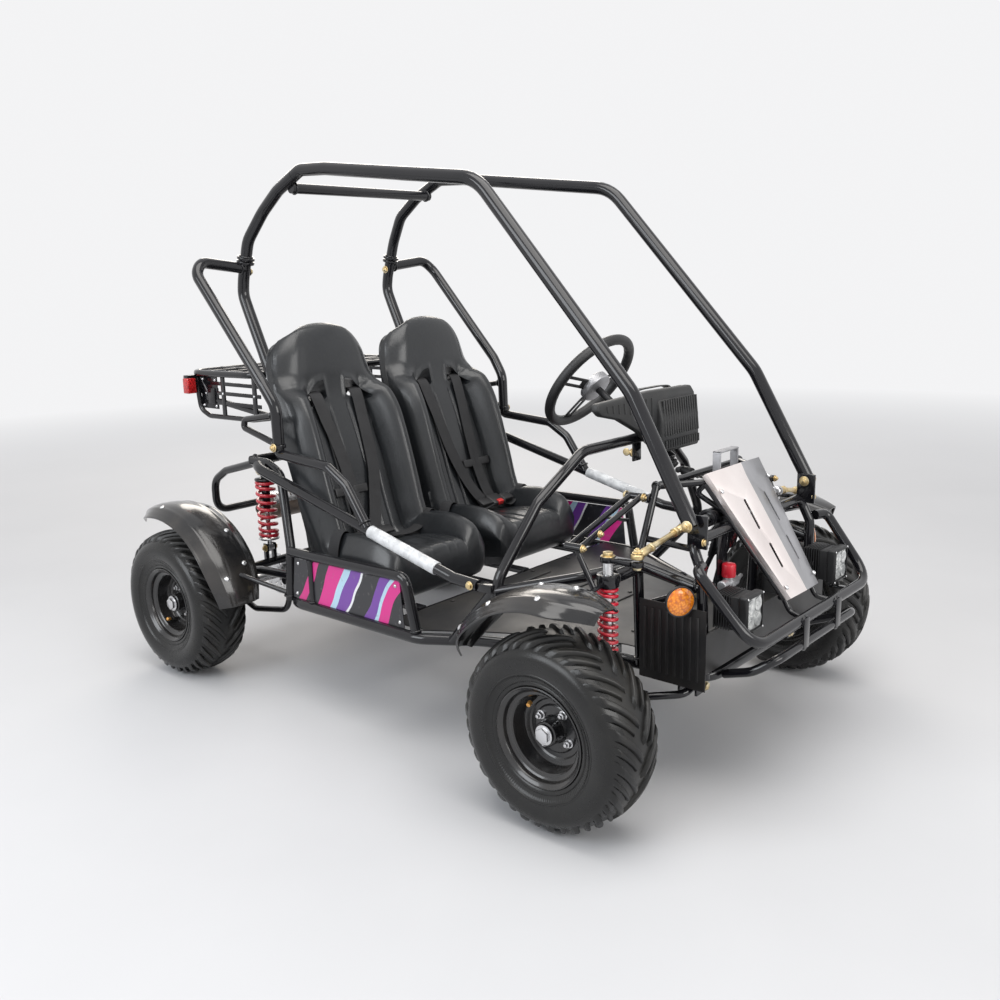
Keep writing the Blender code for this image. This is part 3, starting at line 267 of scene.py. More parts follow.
def take(*pieces):
    """Selects some objects and nothing else, the first of them as the active one."""
    clear_hands()
    for piece in pieces:
        piece.select_set(True)
    bpy.context.view_layer.objects.active = pieces[0]


def joined(parts):
    take(*parts)
    if len(parts) > 1:
        bpy.ops.object.join()
    return bpy.context.object


def reshaped(piece, kind, **settings):
    """Gives a piece one modifier and applies it."""
    take(piece)
    modifier = piece.modifiers.new(kind, kind)
    for name, value in settings.items():
        setattr(modifier, name, value)
    bpy.ops.object.modifier_apply(modifier=modifier.name)
    return piece


def bend_path(points, bend, closed):
    path = []
    count = len(points)
    for index, corner in enumerate(points):
        corner = Vector(corner)
        if not closed and index in (0, count - 1):
            path.append(corner)
            continue
        before = Vector(points[index - 1]) - corner
        after = Vector(points[(index + 1) % count]) - corner
        turn = pi - before.angle(after)
        if turn < radians(1.5):
            path.append(corner)
            continue
        reach = min(bend * tan(turn / 2), 0.47 * before.length, 0.47 * after.length)
        start = corner + before.normalized() * reach
        end = corner + after.normalized() * reach
        steps = max(3, int(turn / radians(8)))
        for step in range(steps + 1):
            part = step / steps
            path.append(start.lerp(corner, part).lerp(corner.lerp(end, part), part))
    return path


def bent_tube(points, radius, bend=0.05, closed=False, sides=6):
    """A tube bent on a former: straight runs, round bends and flat caps."""
    curve = bpy.data.curves.new("bent_tube", "CURVE")
    curve.dimensions = "3D"
    curve.bevel_depth = radius
    curve.bevel_resolution = sides
    curve.use_fill_caps = True
    spline = curve.splines.new("POLY")
    path = bend_path(points, bend, closed)
    spline.points.add(len(path) - 1)
    for knot, at in zip(spline.points, path):
        knot.co = (*at, 1.0)
    spline.use_cyclic_u = closed
    made = bpy.data.objects.new("bent_tube", curve)
    bpy.context.collection.objects.link(made)
    take(made)
    bpy.ops.object.convert(target="MESH")
    return bpy.context.object


def on_side(points, side):
    return [Vector((side * x, y, z)) for x, y, z in points]


def side_tube(side, points, radius, **shape):
    return bent_tube(on_side(points, side), radius, **shape)


def both_sides(points, radius, **shape):
    return [side_tube(side, points, radius, **shape) for side in (-1, 1)]


def pointed(along):
    """The turn that brings the Z axis of a new mesh into a direction."""
    return Vector(along).to_track_quat("Z", "Y").to_euler()


def cut_block(low, high, turn=None, about=None):
    """A sheet or block between two corners, turned about a point where it is inclined."""
    low, high = Vector(low), Vector(high)
    clear_hands()
    bpy.ops.mesh.primitive_cube_add(size=1.0, location=(low + high) / 2)
    made = bpy.context.object
    made.scale = high - low
    bpy.ops.object.transform_apply()
    if turn is not None:
        hinge = Matrix.Translation(Vector(about) if about is not None else (low + high) / 2)
        made.data.transform(hinge @ turn @ hinge.inverted())
    return made


def side_block(side, low, high):
    across = sorted((side * low[0], side * high[0]))
    return cut_block((across[0], low[1], low[2]), (across[1], high[1], high[2]))


def weld(at, along, radius):
    """The rippled bead where one tube is welded to another."""
    clear_hands()
    bpy.ops.mesh.primitive_torus_add(location=at, rotation=pointed(along), major_radius=radius,
        minor_radius=0.0026, major_segments=40, minor_segments=8)
    made = bpy.context.object
    bpy.ops.object.transform_apply()
    centre = Vector(at)
    for index, vertex in enumerate(made.data.vertices):
        ripple = 1.0 + 0.018 * sin(index // 8 * 2.4)
        vertex.co = centre + (vertex.co - centre) * ripple
    return made


def finish_piece(name, parts, coat, node=None, body="chassis", edge=0.0008, angle=32, stretch=None):
    """Joins a piece, moves it to its place in the model, and gives it its finish and, unless it
    stretches, its body.

    A piece that stretches, such as a spring, names the second body and its two ends; these are not used,
    and the piece gets no body.
    """
    piece = joined(parts)
    piece.name = name
    bpy.ops.object.transform_apply()
    piece.data.transform(Matrix.Translation(MIDDLE))
    piece.data.materials.clear()
    piece.data.materials.append(coat.material)
    if edge:
        reshaped(piece, "BEVEL", width=edge, segments=2, limit_method="ANGLE", angle_limit=radians(40))
    bpy.ops.object.shade_smooth_by_angle(angle=radians(angle))
    if stretch:
        second_body, start, end = stretch
        Vector(start) + MIDDLE
        Vector(end) + MIDDLE
        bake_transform(piece)
    else:
        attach(piece, body)
    if node:
        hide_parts(node)


gloss_black = Coat("gloss_black_powder_coat", "black_coat", (0.007, 0.007, 0.009), 0.2)
gloss_black.dusted((0.11, 0.1, 0.09), 0.06)
peel = gloss_black.noise(300.0, 1.0)
smears = gloss_black.noise(9.0, 4.0)
gloss_black.feed("Roughness", smears * 0.14 + 0.07)
gloss_black.bump(peel, 0.03, 0.0004)
gloss_black.set("Coat Weight", 0.35)
gloss_black.set("Specular IOR Level", 0.35)
gloss_black.set("Coat Roughness", 0.06)

floor_half = [(0.43, 0.24, 0.25), (0.43, -0.2, 0.25), (0.36, -0.31, 0.25), (0.27, -0.48, 0.242),
    (0.235, -0.6, 0.236), (0.225, -0.78, 0.236)]
parts = [bent_tube(on_side(reversed(floor_half), -1) + on_side(floor_half, 1), 0.0125, bend=0.06,
    closed=True)]
for half_width, y, radius in ((0.425, 0.105, 0.0112), (0.425, -0.085, 0.0112), (0.3, -0.42, 0.0108)):
    parts.append(bent_tube([(-half_width, y, 0.2485), (half_width, y, 0.2485)], radius))
    for side in (-1, 1):
        parts.append(weld((side * (half_width - 0.006), y, 0.2487), (1, 0, 0), radius + 0.0008))
parts += both_sides([(0.428, 0.223, 0.3742), (0.428, -0.165, 0.38), (0.424, -0.192, 0.251)], 0.0118,
    bend=0.025)
parts += both_sides([(0.428, 0.15, 0.374), (0.428, 0.15, 0.252)], 0.0075)
for side in (-1, 1):
    parts += [weld((side * 0.428, 0.15, 0.363), (0, 0, 1), 0.0082),
        weld((side * 0.428, 0.15, 0.2635), (0, 0, 1), 0.0082),
        weld((side * 0.4243, -0.19, 0.264), (0, 0.2, 1), 0.0125)]
    for middle, outer in ((-0.735, 0.224), (-0.53, 0.256)):
        for offset in (-0.019, 0.019):
            parts.append(side_block(side, (0.178, middle + offset - 0.0025, 0.193),
                (outer, middle + offset + 0.0025, 0.2425)))
    for inner in (0.313, 0.3438):
        parts.append(side_block(side, (inner, 0.235, 0.256), (inner + 0.005, 0.314, 0.284)))
    for off in (-0.12, 0.12):
        foot = side * SEAT_ASIDE + off
        parts.append(cut_block((foot - 0.012, -0.094, 0.256), (foot + 0.012, 0.114, 0.2677)))
finish_piece("floor_loop", parts, gloss_black, "floor_frame")

# Front frame
# A knee hoop, a four-post tower and the guides in which the kingpins slide. The rack's
# housing, the pinion tower and the column's bearing are welded to it.
rack_line = (-0.71, 0.523)


def right_to_left(half, radius, **shape):
    return bent_tube(on_side(half, -1) + list(reversed(on_side(half, 1))), radius, **shape)


parts = [right_to_left([(0.402, -0.398, 0.372), (0.392, -0.402, 0.415), (0.288, -0.42, 0.549),
    (0.159, -0.44, 0.639)], 0.0116, bend=0.05)]
parts += both_sides([(0.395, -0.27, 0.251), (0.401, -0.399, 0.39)], 0.0113)
parts += both_sides([(0.4, -0.4, 0.386), (0.33, -0.56, 0.427), (0.25, -0.635, 0.447),
    (0.242, -0.768, 0.42)], 0.0109, bend=0.05)
parts += both_sides([(0.236, -0.635, 0.237), (0.25, -0.636, 0.448)], 0.0107)
parts.append(right_to_left([(0.226, -0.774, 0.236), (0.24, -0.77, 0.455), (0.236, -0.7465, 0.5045)],
    0.0105, bend=0.03))
pinion_top = Vector((0.132, -0.676, 0.534))
wheel_centre = Vector((0.18, -0.216, 0.744))
column_line = Vector((0.0, -sin(radians(53)), -cos(radians(53))))
column_foot = wheel_centre + column_line * 0.323
bearing = wheel_centre + column_line * 0.276
pinion_line = (pinion_top - column_foot).normalized()


def turned_bar(start, end, radius, sides=32, end_radius=None):
    """A round bar or cone between two points."""
    start, end = Vector(start), Vector(end)
    far_radius = radius if end_radius is None else end_radius
    clear_hands()
    bpy.ops.mesh.primitive_cone_add(vertices=sides, radius1=radius, radius2=far_radius,
        depth=(end - start).length, location=(start + end) / 2, rotation=pointed(end - start))
    made = bpy.context.object
    bpy.ops.object.transform_apply()
    return made


def sleeve(start, end, radius, bore, sides=40):
    """A tube with its bore left open, for bearings, housings and guides."""
    start, end = Vector(start), Vector(end)
    clear_hands()
    bpy.ops.mesh.primitive_cylinder_add(vertices=sides, radius=radius, depth=(end - start).length,
        end_fill_type="NOTHING", location=(start + end) / 2, rotation=pointed(end - start))
    made = bpy.context.object
    bpy.ops.object.transform_apply()
    return reshaped(made, "SOLIDIFY", thickness=radius - bore, offset=-1.0)


for side in (-1, 1):
    kingpin = side * 0.35
    parts += [turned_bar((side * 0.238, -0.6352, 0.4405), (side * 0.332, -0.6352, 0.4405), 0.0128),
        sleeve((kingpin, -0.635, 0.428), (kingpin, -0.635, 0.452), 0.0215, 0.0112),
        weld((side * 0.3295, -0.6352, 0.4405), (1, 0, 0), 0.0134),
        weld((side * 0.249, -0.6352, 0.4405), (1, 0, 0), 0.0134),
        turned_bar((side * 0.366, -0.6345, 0.434), (side * 0.493, -0.6345, 0.419), 0.0048, 20),
        side_block(side, (0.481, -0.6385, 0.417), (0.493, -0.6305, 0.4478)),
        side_block(side, (0.2345, -0.78, 0.496), (0.24, -0.739, 0.56)),
        side_block(side, (0.402, -0.4, 0.384), (0.418, -0.3626, 0.401)),
        side_block(side, (0.244, -0.737, 0.4), (0.263, -0.727, 0.422)),
        side_block(side, (0.05, -0.782, 0.4995), (0.066, -0.75, 0.5035)),
        weld((side * 0.4, -0.3975, 0.383), (0.02, -0.5, 0.5), 0.0122),
        weld((side * 0.2368, -0.6351, 0.25), (0, 0, 1), 0.0114),
        weld((side * 0.2265, -0.7738, 0.25), (0, 0, 1), 0.0112),
        weld((side * 0.242, -0.764, 0.427), (0, 1, -0.2), 0.0116)]
parts.append(sleeve((-0.115, *rack_line), (0.15, *rack_line), 0.0165, 0.0098))
for x in (-0.115, -0.108, 0.146, 0.153):
    parts.append(sleeve((x - 0.0015, *rack_line), (x + 0.0015, *rack_line), 0.0178, 0.01))
parts += [turned_bar(pinion_top + pinion_line * 0.036, pinion_top + pinion_line * 0.004, 0.0135),
    turned_bar(pinion_top + pinion_line * 0.004, pinion_top, 0.0135, 32, 0.01)]
for near in (-0.09, 0.08):
    parts.append(cut_block((near, -0.746, 0.504), (near + 0.01, -0.71, 0.524)))
parts += [sleeve(bearing - column_line * 0.014, bearing + column_line * 0.014, 0.018, 0.0104),
    cut_block((0.1745, bearing.y - 0.012, bearing.z + 0.01), (0.1855, bearing.y + 0.006, 0.626)),
    cut_block((0.029, -0.443, 0.588), (0.061, -0.439, 0.633))]
finish_piece("front_tower", parts, gloss_black, "front_frame")

# Rear frame
# Two bent posts, a shoulder-high cross tube and a looped guard over the engine. Ears below
# the guard's rails hold the shock absorbers' top eyes.
parts = both_sides([(0.428, 0.235, 0.252), (0.412, 0.242, 0.376), (0.383, 0.3, 0.545),
    (0.375, 0.36, 0.566), (0.375, 0.42, 0.566)], 0.0114, bend=0.04)
parts += [bent_tube([(-0.379, 0.4205, 0.567), (0.379, 0.4205, 0.567)], 0.0121),
    right_to_left([(0.25, 0.42, 0.567), (0.24, 0.74, 0.485), (0.24, 0.8, 0.45), (0.24, 0.8, 0.362)],
    0.011, bend=0.05)]
for side in (-1, 1):
    for inner in (0.224, 0.252):
        parts.append(side_block(side, (inner, 0.552, 0.493), (inner + 0.004, 0.572, 0.53)))
    parts += [side_block(side, (0.224, 0.552, 0.525), (0.256, 0.572, 0.53)),
        turned_bar((side * 0.429, 0.242, 0.269), (side * 0.469, 0.375, 0.3001), 0.006, 20),
        weld((side * 0.25, 0.433, 0.564), (0, 1, -0.25), 0.0118),
        weld((side * 0.365, 0.4205, 0.567), (1, 0, 0), 0.0128),
        weld((side * 0.428, 0.2362, 0.264), (0, 0, 1), 0.0122)]
finish_piece("rear_frame_tubes", parts, gloss_black, "rear_frame")

# Roll cage
# The hoop's upper part bolts to two lower legs by round flanges, and each roof rail runs on
# into a windscreen pillar. All of it is 30 mm tube.
SIDES = (("right", -1), ("left", 1))
leg_joint = Vector((0.255, 0.552, 1.0565))
leg_line = Vector((0.0, -0.305, 0.952)).normalized()
rail_joint = Vector((0.24, 0.352, 1.251))
rail_line = Vector((0.0, -0.914, 0.405)).normalized()
parts = both_sides([leg_joint + leg_line * 0.0005, leg_joint + leg_line * 0.05, (0.24, 0.487, 1.172),
    (0.24, 0.42, 1.22), rail_joint - rail_line * 0.0005], 0.015, bend=0.09, sides=8)
parts.append(bent_tube([(-0.238, 0.372, 1.222), (0.238, 0.372, 1.222)], 0.0125, sides=8))
for side in (-1, 1):
    low, high = on_side([leg_joint + leg_line * 0.0015, leg_joint + leg_line * 0.0085], side)
    parts += [turned_bar(low, high, 0.0225, 40),
        weld(on_side([leg_joint + leg_line * 0.01], side)[0], leg_line, 0.0156),
        weld((side * 0.227, 0.372, 1.222), (1, 0, 0), 0.0131)]
finish_piece("roof_bow", parts, gloss_black, "roof_hoop")
for name, side in SIDES:
    low, high = on_side([leg_joint - leg_line * 0.0085, leg_joint - leg_line * 0.0015], side)
    parts = [side_tube(side, [leg_joint - leg_line * 0.0005, leg_joint - leg_line * 0.05,
        (0.255, 0.574, 0.97), (0.255, 0.556, 0.93), (0.255, 0.4, 0.6), (0.255, 0.246, 0.262)], 0.015,
        bend=0.1, sides=8), side_tube(side, [(0.256, 0.558, 1.036), (0.388, 0.552, 1.052),
        (0.415, 0.536, 1.024), (0.415, 0.3, 0.766), (0.41, 0.264, 0.715), (0.41, 0.262, 0.6268)], 0.0138,
        bend=0.06, sides=8), turned_bar(low, high, 0.0225, 40),
        weld((side * 0.2705, 0.5575, 1.038), (1, -0.04, 0.12), 0.0146),
        weld((side * 0.255, 0.25, 0.268), (0, 0.4, 1), 0.0156)]
    finish_piece(f"hoop_leg_{name}", parts, gloss_black, f"cage_leg_{name}")
    parts = [side_tube(side, [rail_joint + rail_line * 0.0005, rail_joint + rail_line * 0.025,
        (0.24, 0.24, 1.257), (0.24, 0.0, 1.228), (0.242, -0.235, 1.2), (0.25, -0.621, 0.781),
        (0.256, -0.757, 0.541)], 0.015, bend=0.11, sides=8)]
    finish_piece(f"pillar_{name}", parts, gloss_black, f"cage_rail_{name}")

# Side guards
# Each hip rail is one bent tube with an arm-rest bow welded on top. A pale foam-lined sleeve
# on the forward run is drawn on for the rider's hand.
worn_sleeve = Coat("worn_pale_sleeve", "black_coat", (0.62, 0.63, 0.64), 0.3)
scuffs = worn_sleeve.ramp(worn_sleeve.noise(38.0, 7.0), (0.36, 0.0), (0.66, 1.0))
worn_sleeve.feed("Base Color", worn_sleeve.mix(scuffs, (0.5, 0.51, 0.52, 1.0), (0.74, 0.75, 0.76, 1.0)))
worn_sleeve.feed("Roughness", scuffs * 0.16 + 0.2)
worn_sleeve.grained(240.0, 3.0, 0.08, 0.0008)
for name, side in SIDES:
    parts = [side_tube(side, [(0.4005, 0.365, 0.564), (0.41, 0.342, 0.5575), (0.41, -0.03, 0.463),
        (0.41, -0.29, 0.397), (0.41, -0.361, 0.393)], 0.0125, bend=0.06),
        side_tube(side, [(0.41, 0.262, 0.626), (0.41, 0.262, 0.603), (0.41, 0.09, 0.59),
        (0.41, 0.03, 0.555), (0.41, -0.033, 0.466)], 0.0119, bend=0.04),
        turned_bar((side * 0.41, 0.262, 0.618), (side * 0.41, 0.262, 0.6262), 0.0165, 32),
        weld((side * 0.41, -0.027, 0.476), (0, -0.55, -0.8), 0.0126)]
    finish_piece(f"hip_rail_{name}", parts, gloss_black, f"side_guard_{name}")
    sleeve_top, sleeve_foot = Vector((side * 0.41, -0.045, 0.4592)), Vector((side * 0.41, -0.245, 0.4084))
    parts = [turned_bar(sleeve_top, sleeve_foot, 0.0136, 40)]
    for first, last in ((0.0, 0.332), (0.341, 0.659), (0.668, 1.0)):
        parts.append(turned_bar(sleeve_top.lerp(sleeve_foot, first), sleeve_top.lerp(sleeve_foot, last),
            0.0144, 40))
    finish_piece(f"rail_sleeve_{name}", parts, worn_sleeve)

# Floor pan
# A folded steel sheet lies on the cross tubes and turns up round the front posts. Its hinges
# for the pedals are welded on, and the coat is scuffed where feet rest.
pan_coat = Coat("scuffed_black_sheet", "black_coat", (0.01, 0.01, 0.011), 0.34)
pan_coat.dusted((0.12, 0.11, 0.095), 0.3)
pan_coat.worn(14.0, 6.0, 0.3, 0.28)
scratches = pan_coat.noise(60.0, 4.0, (1.0, 14.0, 1.0))
pan_coat.bump(scratches, 0.1, 0.001)
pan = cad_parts["floor_pan"]
pan.data.materials.clear()
pan.data.materials.append(pan_coat.material)
parts = []
for y in (-0.15, -0.285, -0.42, -0.56, -0.69):
    parts.append(cut_block((-0.15, y - 0.004, 0.2622), (0.095, y + 0.004, 0.2656)))
parts.append(cut_block((-0.205, -0.794, 0.265), (0.205, -0.7905, 0.285)))
for x in (-0.225, -0.075, 0.075, 0.225):
    for y in (-0.11, -0.405):
        parts.append(turned_bar((x, y, 0.2622), (x, y, 0.2655), 0.0065, 6))
for side in (-1, 1):
    for index in range(8):
        y = -0.782 + index * 0.0165
        parts.append(side_block(side, (0.263, y, 0.242), (0.2662, y + 0.006, 0.37)))
finish_piece("pan_ribs", parts, pan_coat, edge=0.0012)


# Tyres
# A low-pressure off-road tyre with slanted lugs that meet in a chevron. Its bulging wall
# carries moulded rings and a band of fine ribs by the bead.
AXLE_HEIGHT = 0.19
REAR_AXLE = (0.621, AXLE_HEIGHT)
FRONT_AXLE = (-0.621, AXLE_HEIGHT)
FACE_OUT = ("normals_make_consistent", {"inside": False})


def worked(piece, *steps):
    """Runs mesh tools on the whole mesh of a piece, one after the other."""
    take(piece)
    bpy.ops.object.mode_set(mode="EDIT")
    for tool, settings in steps:
        bpy.ops.mesh.select_all(action="SELECT")
        getattr(bpy.ops.mesh, tool)(**settings)
    bpy.ops.object.mode_set(mode="OBJECT")
    return piece


def lathe(outline, centre, along=(1, 0, 0), steps=72):
    """Spins a closed (radius, offset) outline about the line along an axis, as on a lathe."""
    clear_hands()
    bpy.ops.mesh.primitive_circle_add(vertices=len(outline), fill_type="NOTHING")
    made = bpy.context.object
    for vertex, (radius, offset) in zip(made.data.vertices, outline):
        vertex.co = (offset, 0.0, radius)
    worked(made, ("spin", {"steps": steps, "angle": 2 * pi, "center": (0, 0, 0), "axis": (1, 0, 0)}),
        ("remove_doubles", {"threshold": 0.00002}), ("delete_loose", {}), FACE_OUT)
    turn = Vector(along).to_track_quat("X", "Z").to_matrix().to_4x4()
    made.data.transform(Matrix.Translation(Vector(centre)) @ turn)
    return made


def copy_of(model, matrix):
    made = model.copy()
    made.data = model.data.copy()
    bpy.context.collection.objects.link(made)
    made.data.transform(matrix)
    if matrix.determinant() < 0:
        made.data.flip_normals()
    return made


def drawn_grid(columns, rows, shape):
    """A flat grid whose points are drawn to their place by a function of (across, along)."""
    clear_hands()
    bpy.ops.mesh.primitive_grid_add(x_subdivisions=columns, y_subdivisions=rows, size=2.0)
    made = bpy.context.object
    for vertex in made.data.vertices:
        vertex.co = shape((vertex.co.x + 1) / 2, (vertex.co.y + 1) / 2)
    return made


def crown(aside):
    """Radius of the carcass under the lugs at a distance from the middle plane."""
    return 0.183 - 0.009 * (abs(aside) / 0.052) ** 2.2


wall_half = [(0.183, 0.0), (0.1824, 0.014), (0.1806, 0.028), (0.1776, 0.041), (0.173, 0.053),
    (0.1676, 0.0618), (0.161, 0.0676), (0.1535, 0.0707), (0.1455, 0.0718), (0.1375, 0.0715),
    (0.13, 0.0702), (0.1238, 0.0684), (0.1226, 0.0692), (0.1204, 0.0686), (0.1194, 0.0668),
    (0.113, 0.0636), (0.107, 0.0612), (0.1052, 0.0626), (0.1016, 0.062), (0.0992, 0.0604),
    (0.0965, 0.0586), (0.09, 0.054), (0.088, 0.04)]
carcass = wall_half + [(radius, -aside) for radius, aside in reversed(wall_half[1:])]
lugs_round = 18
rolling_radius = 0.19


def lug_shape(start, end, sweep, width, height):
    """A rubber bar that runs outwards over the crown, widening and curving back."""
    def point(across, along):
        path = start + (end - start) * along
        turn = sweep * along ** 0.85
        half = width * (0.66 + 0.48 * along) / 2
        side = (across - 0.5) * 2
        if path < 0.056:
            base = crown(path)
            drop = 0.0
        else:
            drop = path - 0.056
            base = crown(0.056) - drop * 1.05
        aside = min(path, 0.056 + drop * 0.72)
        ends = min(1.0, (along - 0.02) / 0.05, (0.995 - along) / 0.16)
        top = max(0.0, 1.0 - abs(side) ** 6) * max(0.0, ends)
        reach = min(base + height * top - 0.0015 * (1 - top), rolling_radius)
        swing = turn + side * half / 0.185
        return (aside, sin(swing) * reach, cos(swing) * reach)
    return point


bar_long = drawn_grid(8, 16, lug_shape(0.0015, 0.0735, 0.46, 0.0235, 0.0078))
bar_short = drawn_grid(8, 12, lug_shape(0.018, 0.0715, 0.33, 0.0165, 0.0072))
tread = [lathe(carcass, (0, 0, 0), steps=96)]
for index in range(lugs_round):
    for hand in (1, -1):
        step = 2 * pi * (index + (0.5 if hand < 0 else 0.0)) / lugs_round
        mirror = Matrix.Scale(hand, 4, (1, 0, 0))
        tread.append(copy_of(bar_long, mirror @ Matrix.Rotation(step, 4, "X")))
        tread.append(copy_of(bar_short, mirror @ Matrix.Rotation(step - pi / lugs_round - 0.115, 4, "X")))
for pattern in (bar_long, bar_short):
    bpy.data.objects.remove(pattern)
tyre_model = joined(tread)
axle_lines = {"front": (FRONT_AXLE[0], 0.491), "rear": (REAR_AXLE[0], 0.4725)}
wheels = []
for end, (axle_y, half_track) in axle_lines.items():
    for name, side in SIDES:
        wheels.append((end, axle_y, half_track, name, side))
tyre_coats = {}
for end, (axle_y, half_track) in axle_lines.items():
    rubber = Coat(f"moulded_rubber_{end}", "tyre", (0.01, 0.01, 0.01), 0.36)
    centre = (0.0, -axle_y - MIDDLE.y, -AXLE_HEIGHT)
    spot = rubber.add("Mapping", {}, Vector=rubber.place, Location=centre)
    split = [rubber.axis(index, spot) for index in range(3)]
    reach = (split[1] * split[1] + split[2] * split[2]) ** 0.5
    turn = rubber.add("Math", {"operation": "ARCTAN2"}, _0=split[1], _1=split[2])
    ribs = (turn * 150.0).wave() * reach.over(0.1065) * reach.under(0.118)
    dust = rubber.ramp(rubber.noise(16.0, 7.0), (0.42, 0.0), (0.78, 1.0))
    tread_zone = reach.over(0.178) * 0.2 + 0.08
    rubber.feed("Base Color", rubber.mix(dust * tread_zone, (0.009, 0.009, 0.009, 1.0),
        (0.08, 0.074, 0.062, 1.0)))
    rubber.feed("Roughness", rubber.noise(30.0, 4.0) * 0.18 + 0.18 + reach.over(0.178) * 0.1)
    rubber.bump(ribs * 0.5 + rubber.noise(320.0, 2.0) * 0.4, 0.2, 0.0012)
    rubber.set("Specular IOR Level", 0.4)
    tyre_coats[end] = rubber
for end, axle_y, half_track, name, side in wheels:
    body = f"front_wheel_{name}" if end == "front" else "rear_axle"
    there = Matrix.Translation((side * half_track, axle_y, AXLE_HEIGHT))
    turned_in = Matrix.Rotation(0.13 if side > 0 else 0.41, 4, "X")
    piece = copy_of(tyre_model, there @ turned_in)
    finish_piece(f"{end}_tread_{name}", [piece], tyre_coats[end], f"{end}_tyre_{name}", body, edge=0,
        angle=45)
bpy.data.objects.remove(tyre_model)

# Wheels
# A pressed steel rim in two stepped halves, bolted to a hub by four nuts, with a rubber
# valve that has a brass cap.
rim_outline = [(0.0925, 0.06), (0.0945, 0.0622), (0.0968, 0.0612), (0.0962, 0.0585), (0.09, 0.0545),
    (0.0882, 0.052), (0.0868, 0.045), (0.082, 0.0415), (0.077, 0.04), (0.0748, 0.03), (0.074, -0.024),
    (0.086, -0.042), (0.088, -0.052), (0.0962, -0.0585), (0.0968, -0.0612), (0.0945, -0.0622),
    (0.0925, -0.06), (0.085, -0.05), (0.072, -0.025), (0.071, 0.001), (0.048, 0.001), (0.044, -0.004),
    (0.0262, -0.004), (0.025, -0.0255), (0.0125, -0.0255), (0.0125, 0.0395), (0.0215, 0.0395),
    (0.0235, 0.0375), (0.0245, 0.013), (0.0275, 0.0095), (0.044, 0.0095), (0.0475, 0.007), (0.056, 0.007),
    (0.059, 0.0095), (0.065, 0.0098), (0.0692, 0.0112), (0.0716, 0.015), (0.0728, 0.03), (0.0738, 0.0405),
    (0.0764, 0.0432), (0.0812, 0.044), (0.0846, 0.047), (0.0858, 0.054), (0.0884, 0.058)]
wheel_black = Coat("wheel_black_enamel", "black_coat", (0.012, 0.012, 0.013), 0.22)
wheel_black.dusted((0.13, 0.11, 0.09), 0.2)
wheel_black.worn(30.0, 5.0, 0.22, 0.13)
wheel_black.grained(500.0, 2.0, 0.04, 0.0006)
wheel_black.set("Coat Weight", 0.4)
bright_steel = Coat("bright_steel", "steel", (0.62, 0.62, 0.63), 0.28, 1.0)
bright_steel.worn(60.0, 5.0, 0.25, 0.16)
bright_steel.bump(bright_steel.noise(220.0, 3.0, (1.0, 1.0, 8.0)), 0.05, 0.0004)
yellow_zinc = Coat("yellow_zinc_plate", "zinc", (0.62, 0.48, 0.24), 0.33, 0.9)
bloom = yellow_zinc.noise(45.0, 5.0)
yellow_zinc.feed("Base Color", yellow_zinc.ramp(bloom, (0.3, (0.5, 0.36, 0.17)),
    (0.52, (0.68, 0.54, 0.3)), (0.74, (0.6, 0.56, 0.42))))
yellow_zinc.feed("Roughness", bloom * 0.3 + 0.2)
yellow_zinc.grained(300.0, 2.0, 0.06, 0.0005)


def ring_of(count, centre, radius, first=0.0):
    """Points evenly spaced on a circle about an axle line."""
    for index in range(count):
        turn = 2 * pi * index / count + first
        yield Vector((centre[0], centre[1] + radius * cos(turn), centre[2] + radius * sin(turn)))


def nut(at, along, size, height, washer=True):
    """A hexagon nut with chamfered corners on its washer."""
    at, along = Vector(at), Vector(along).normalized()
    made = [turned_bar(at, at + along * height, size, 6)]
    if washer:
        made.append(turned_bar(at - along * 0.0006, at + along * 0.0011, size * 1.28, 28))
    return made


def bolt(at, along, size, height, stud=0.0):
    """A nut with its washer, and the end of the stud standing out of it."""
    made = nut(at, along, size, height)
    if stud:
        at, along = Vector(at), Vector(along).normalized()
        made.append(turned_bar(at + along * height * 0.9, at + along * (height + stud), size * 0.52, 20))
    return made


brass = Coat("valve_cap_brass", "zinc", (0.7, 0.36, 0.1), 0.35, 0.6)
brass.worn(200.0, 3.0, 0.3, 0.2)
black_rubber = Coat("black_rubber_parts", "black_plastic", (0.02, 0.02, 0.02), 0.6)
black_rubber.worn(60.0, 5.0, 0.25, 0.45)
black_rubber.grained(420.0, 3.0, 0.12, 0.0008)
for end, axle_y, half_track, name, side in wheels:
    body = f"front_wheel_{name}" if end == "front" else "rear_axle"
    centre = Vector((side * half_track, axle_y, AXLE_HEIGHT))
    out = Vector((side, 0, 0))
    finish_piece(f"{end}_wheel_{name}", [lathe(rim_outline, centre, out, 80)], wheel_black,
        f"{end}_rim_{name}", body, edge=0, angle=35)
    parts = []
    for spot in ring_of(4, centre + out * 0.0095, 0.0375, 0.55 if end == "front" else 1.0):
        parts += bolt(spot, out, 0.0072, 0.008, 0.005)
    finish_piece(f"{end}_wheel_nuts_{name}", parts, bright_steel, body=body)
    turn = radians(54) if end == "front" else radians(-56)
    inward = Vector((0, side * cos(turn), -sin(turn)))
    foot = centre + out * 0.0135 - inward * 0.07
    lean = (out + inward * 0.35).normalized()
    stem = [turned_bar(foot, foot + lean * 0.012, 0.0052, 24, 0.004),
        turned_bar(foot + lean * 0.01, foot + lean * 0.022, 0.0031, 24)]
    finish_piece(f"{end}_valve_{name}", stem, black_rubber, body=body)
    cap = [turned_bar(foot + lean * 0.021, foot + lean * 0.031, 0.0048, 16, 0.0042)]
    finish_piece(f"{end}_valve_cap_{name}", cap, brass, body=body)

